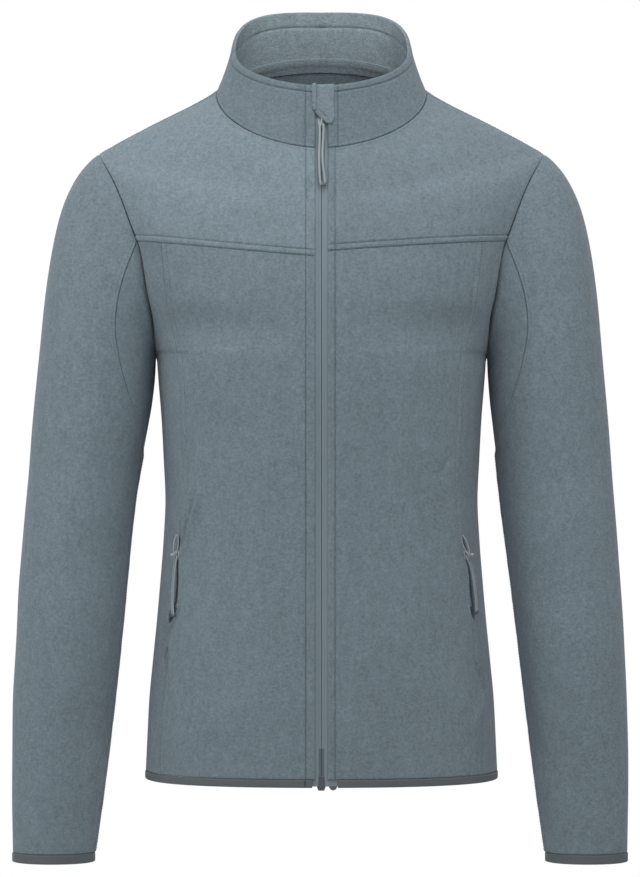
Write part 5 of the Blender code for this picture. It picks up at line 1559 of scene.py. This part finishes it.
for side, name in SIDE_NAMES.items():
    z_line = np.linspace(*POCKET_TAPE_Z, 80)
    slot = POCKET_SLOTS[side]
    slot_line = seam_face(side, (slot.at(z_line, "front") + slot.at(z_line, "side")) / 2, z_line)

    def teeth_line(cloud):
        """A groove where the tapes meet, and the swell of the coil on both sides of it."""
        away = distances(cloud, slot_line)[0] / MM
        return (0.45 * np.exp(-(away / 0.35) ** 2) - 0.35 * np.exp(-((away - 1.4) / 0.8) ** 2)) * MM

    pocket_tape = Sheet(f"pocket_tape_{name}", [
        patch(lambda u, v: seam_face(side, mix(*POCKET_TAPE_SPAN[side], u), mix(*POCKET_TAPE_Z, v)),
              (POCKET_TAPE_ENDS, 48, POCKET_TAPE_ENDS), (POCKET_TAPE_ENDS, 52, POCKET_TAPE_ENDS),
              side == RIGHT, **ALL_ROUND)],
        TAPE_WALL, sink=FLEECE_WALL + CLEARANCE, relief=teeth_line)
    sew_sheet(pocket_tape, tape, "zip_tape", [f"pocket_zip_{name}"])

# %% Pocket sliders
# Each slider stands in its slot, level with the cloth. A wire ring hangs from it, and the left
# one leans. The cord's metal end shows as a small knob beside the bail.
POCKET_SLIDER_FRAMES = {     # place, out, up, side, and the ring's lean
    "right": ((-0.13927, -0.0601, -0.45362), (-0.8431, -0.5362, 0.0399),
              (0.1540, -0.0590, 0.9864), -1, 0.0),
    "left": ((0.13911, -0.05998, -0.45369), (0.8414, -0.5368, 0.0628),
             (-0.1560, -0.0570, 0.9861), 1, -0.22)}
SLIDER_STAND = 0.0022
RING_LENGTH, RING_WIDTH, RING_OUT, RING_WIRE = 0.0100, 0.0022, 0.0036, 0.00080
KNOB_REACHES, KNOB_RADII = (0.0008, 0.0020, 0.0034, 0.0046), (0.0009, 0.0014, 0.0016, 0.0012)


def round_ended(radius, reach, swell, count=20):
    """An outline with round ends, a little wider at its middle."""
    outline = []
    for angle in 2 * pi * np.arange(count) / count:
        x, y = radius * cos(angle), radius * sin(angle)
        y += reach if y >= 0 else -reach
        outline.append((x * (1 + swell * (1 - abs(y) / (reach + radius))), y))
    return outline


POCKET_PLATE = (0.0027, 0.0023, 0.1)       # radius of its ends, reach to their centres, swell
POCKET_PLATE_THICKNESS = 0.0012
pocket_plate = slab(round_ended(*POCKET_PLATE), PLATE_LIFT, PLATE_LIFT + POCKET_PLATE_THICKNESS,
                    PLATE_BEVEL)
pocket_bail = bail(0.0034, PLATE_LIFT + 0.0008, 0.0036, 0.00070)
for name, (place, out, up, away, lean) in POCKET_SLIDER_FRAMES.items():
    slider_frame = frame_on(np.array(place) + np.array(out) * SLIDER_STAND, out, up)
    sideways = np.array((0.53, 0.0, 0.84 * away))      # the jacket's X in the slider's own axes
    ring = [np.array((0, RING_LENGTH * (1 - cos(a)), RING_OUT))
            + sideways * (RING_WIDTH * sin(a) + lean * RING_LENGTH * (0.5 - cos(a)))
            for a in np.linspace(0, 2 * pi, 28, endpoint=False)]
    knob = [ring[0] + sideways * away * reach for reach in KNOB_REACHES]
    parts = [pocket_plate, pocket_bail,
             tube(ring, RING_WIRE, 8, closed=True, up=(0, 0, 1)),
             tube(knob, KNOB_RADII, 8, up=(0, 1, 0))]
    add_piece(f"cast_pocket_slider_{name}", placed(parts, slider_frame), lacquered_zinc,
              nodes=[f"pocket_slider_{name}"])

# %% [markdown]
# ## Neck tape and label
# Inside the back of the neck, the seam is covered by a narrow strip of cloth. A small plain
# label is sewn in just under it.

# %% Neck tape and label
NECK_TAPE_LOW, NECK_TAPE_HIGH = 0.0052, 0.10
LABEL_X, LABEL_Z, LABEL_WALL = (0.0005, 0.0097), (-0.0186, -0.0064), 0.0006
neck_line = body_point(LEFT, "back", np.linspace(0, 1, 60), np.full(60, NECK_SIDE_Z))


def behind_neck(cloud):
    """How deep the inside of the neck lies under the outer face."""
    neck_z = np.interp(np.abs(cloud[:, 0]), neck_line[:, 0], neck_line[:, 2])
    in_collar = ease((cloud[:, 2] - neck_z + 0.004) / 0.008)
    return mix(FLEECE_WALL, COLLAR_WALL, in_collar) + CLEARANCE


def neck_tape_patches():
    for side in SIDE_NAMES:
        yield body_patch(side, "back", ("centre", "end"),
                         (NECK_SIDE_Z - NECK_TAPE_LOW, NECK_SIDE_Z), (FINE, 6, OPEN),
                         (OPEN, 50, FINE), right="plain", bottom="tape_edge")
        yield patch(lambda u, v, side=side: collar_point(side, "back", u, v * NECK_TAPE_HIGH),
                    (OPEN, 5, FINE), (OPEN, 50, FINE), body_turned(side, "back"),
                    right="plain", top="tape_edge")


def label_face(u, v):
    z = mix(*LABEL_Z, v)
    return body_point(LEFT, "back", mix(*LABEL_X, u) / (3 * BODY["back"].at(z, "out_x")), z)


neck_tape = Sheet("neck_tape", list(neck_tape_patches()), TAPE_WALL, sink=behind_neck)
# The neck tape takes the facing's lighter copy, which is painted light inside the neck.
sew_sheet(neck_tape, painted_light_facing, "fleece", [])
label = Sheet("woven_label", [patch(label_face, (THIN, 14, THIN), (THIN, 10, THIN), True,
                                    **ALL_ROUND)], LABEL_WALL, sink=FLEECE_WALL + CLEARANCE)
sew_sheet(label, label_cloth, "label", ["neck_label"])

# %% [markdown]
# ## The floor and the light
# Product light: the jacket hangs in a white room that gives little light of its own. Two large
# soft keys stand above the camera on both sides, a third lamp lights the shoulders from the
# top, two more fill the sleeves from the side, and two behind the jacket light its back.

# %% Floor and room
FLOOR_Z, FLOOR_RADIUS = -1.50, 3.6
ROOM_LIGHT = 0.27

floor_mesh = bmesh.new()
bmesh.ops.create_circle(floor_mesh, cap_ends=True, segments=96, radius=FLOOR_RADIUS)
floor_data = bpy.data.meshes.new("pale_floor")
floor_mesh.to_mesh(floor_data)
floor_mesh.free()
floor = bpy.data.objects.new("pale_floor", floor_data)
floor.location = (0, 0, FLOOR_Z)
bpy.context.scene.collection.objects.link(floor)
paper = bpy.data.materials.new("white_paper")
paper.use_nodes = True
paper_shader = paper.node_tree.nodes["Principled BSDF"]
paper_shader.inputs["Roughness"].default_value = 0.9
paper_shader.inputs["Base Color"].default_value = (0.90, 0.90, 0.90, 1)
floor_data.materials.append(paper)

world = bpy.data.worlds.new("soft_room")
bpy.context.scene.world = world
world.use_nodes = True
background = world.node_tree.nodes["Background"]
background.inputs["Color"].default_value = (1, 1, 1, 1)
seen = add_node(world.node_tree, "ShaderNodeLightPath").outputs["Is Camera Ray"]
room = add_node(world.node_tree, "ShaderNodeMapRange", {"To Min": ROOM_LIGHT, "To Max": 1.0},
                {"Value": seen})
world.node_tree.links.new(room.outputs["Result"], background.inputs["Strength"])
print("floor", round(2 * FLOOR_RADIUS, 1), "m across at z", FLOOR_Z)

# %% Lights
SOFT_LIGHTS = (              # name, place, what it points at, size in metres, power in watts
    ("key_light_left", (-0.75, -1.25, 0.75), (0, 0, -0.20), 0.9, 5.3),
    ("key_light_right", (0.95, -1.3, 0.6), (0, 0, -0.20), 0.9, 7.6),
    ("top_light", (0, -0.7, 1.1), (0, 0, -0.20), 1.0, 11.3),
    ("side_light_left", (-1.7, -0.5, -0.1), (-0.2, 0, -0.45), 1.0, 9.8),
    ("side_light_right", (1.7, -0.5, -0.1), (0.2, 0, -0.45), 1.0, 2.4),
    ("back_light_left", (-0.9, 1.5, 0.5), (0, 0, -0.30), 1.0, 14),
    ("back_light_right", (0.9, 1.5, 0.5), (0, 0, -0.30), 1.0, 14))
for name, place, target, size, power in SOFT_LIGHTS:
    lamp = bpy.data.lights.new(name, "AREA")
    lamp.shape, lamp.size, lamp.energy = "SQUARE", size, power
    holder = bpy.data.objects.new(name, lamp)
    holder.location = place
    aim = Vector(target) - Vector(place)
    holder.rotation_euler = aim.to_track_quat("-Z", "Y").to_euler()
    holder.visible_camera = False
    bpy.context.scene.collection.objects.link(holder)
bpy.context.scene.view_settings.view_transform = "Standard"
print("lights:", [name for name, *_ in SOFT_LIGHTS])
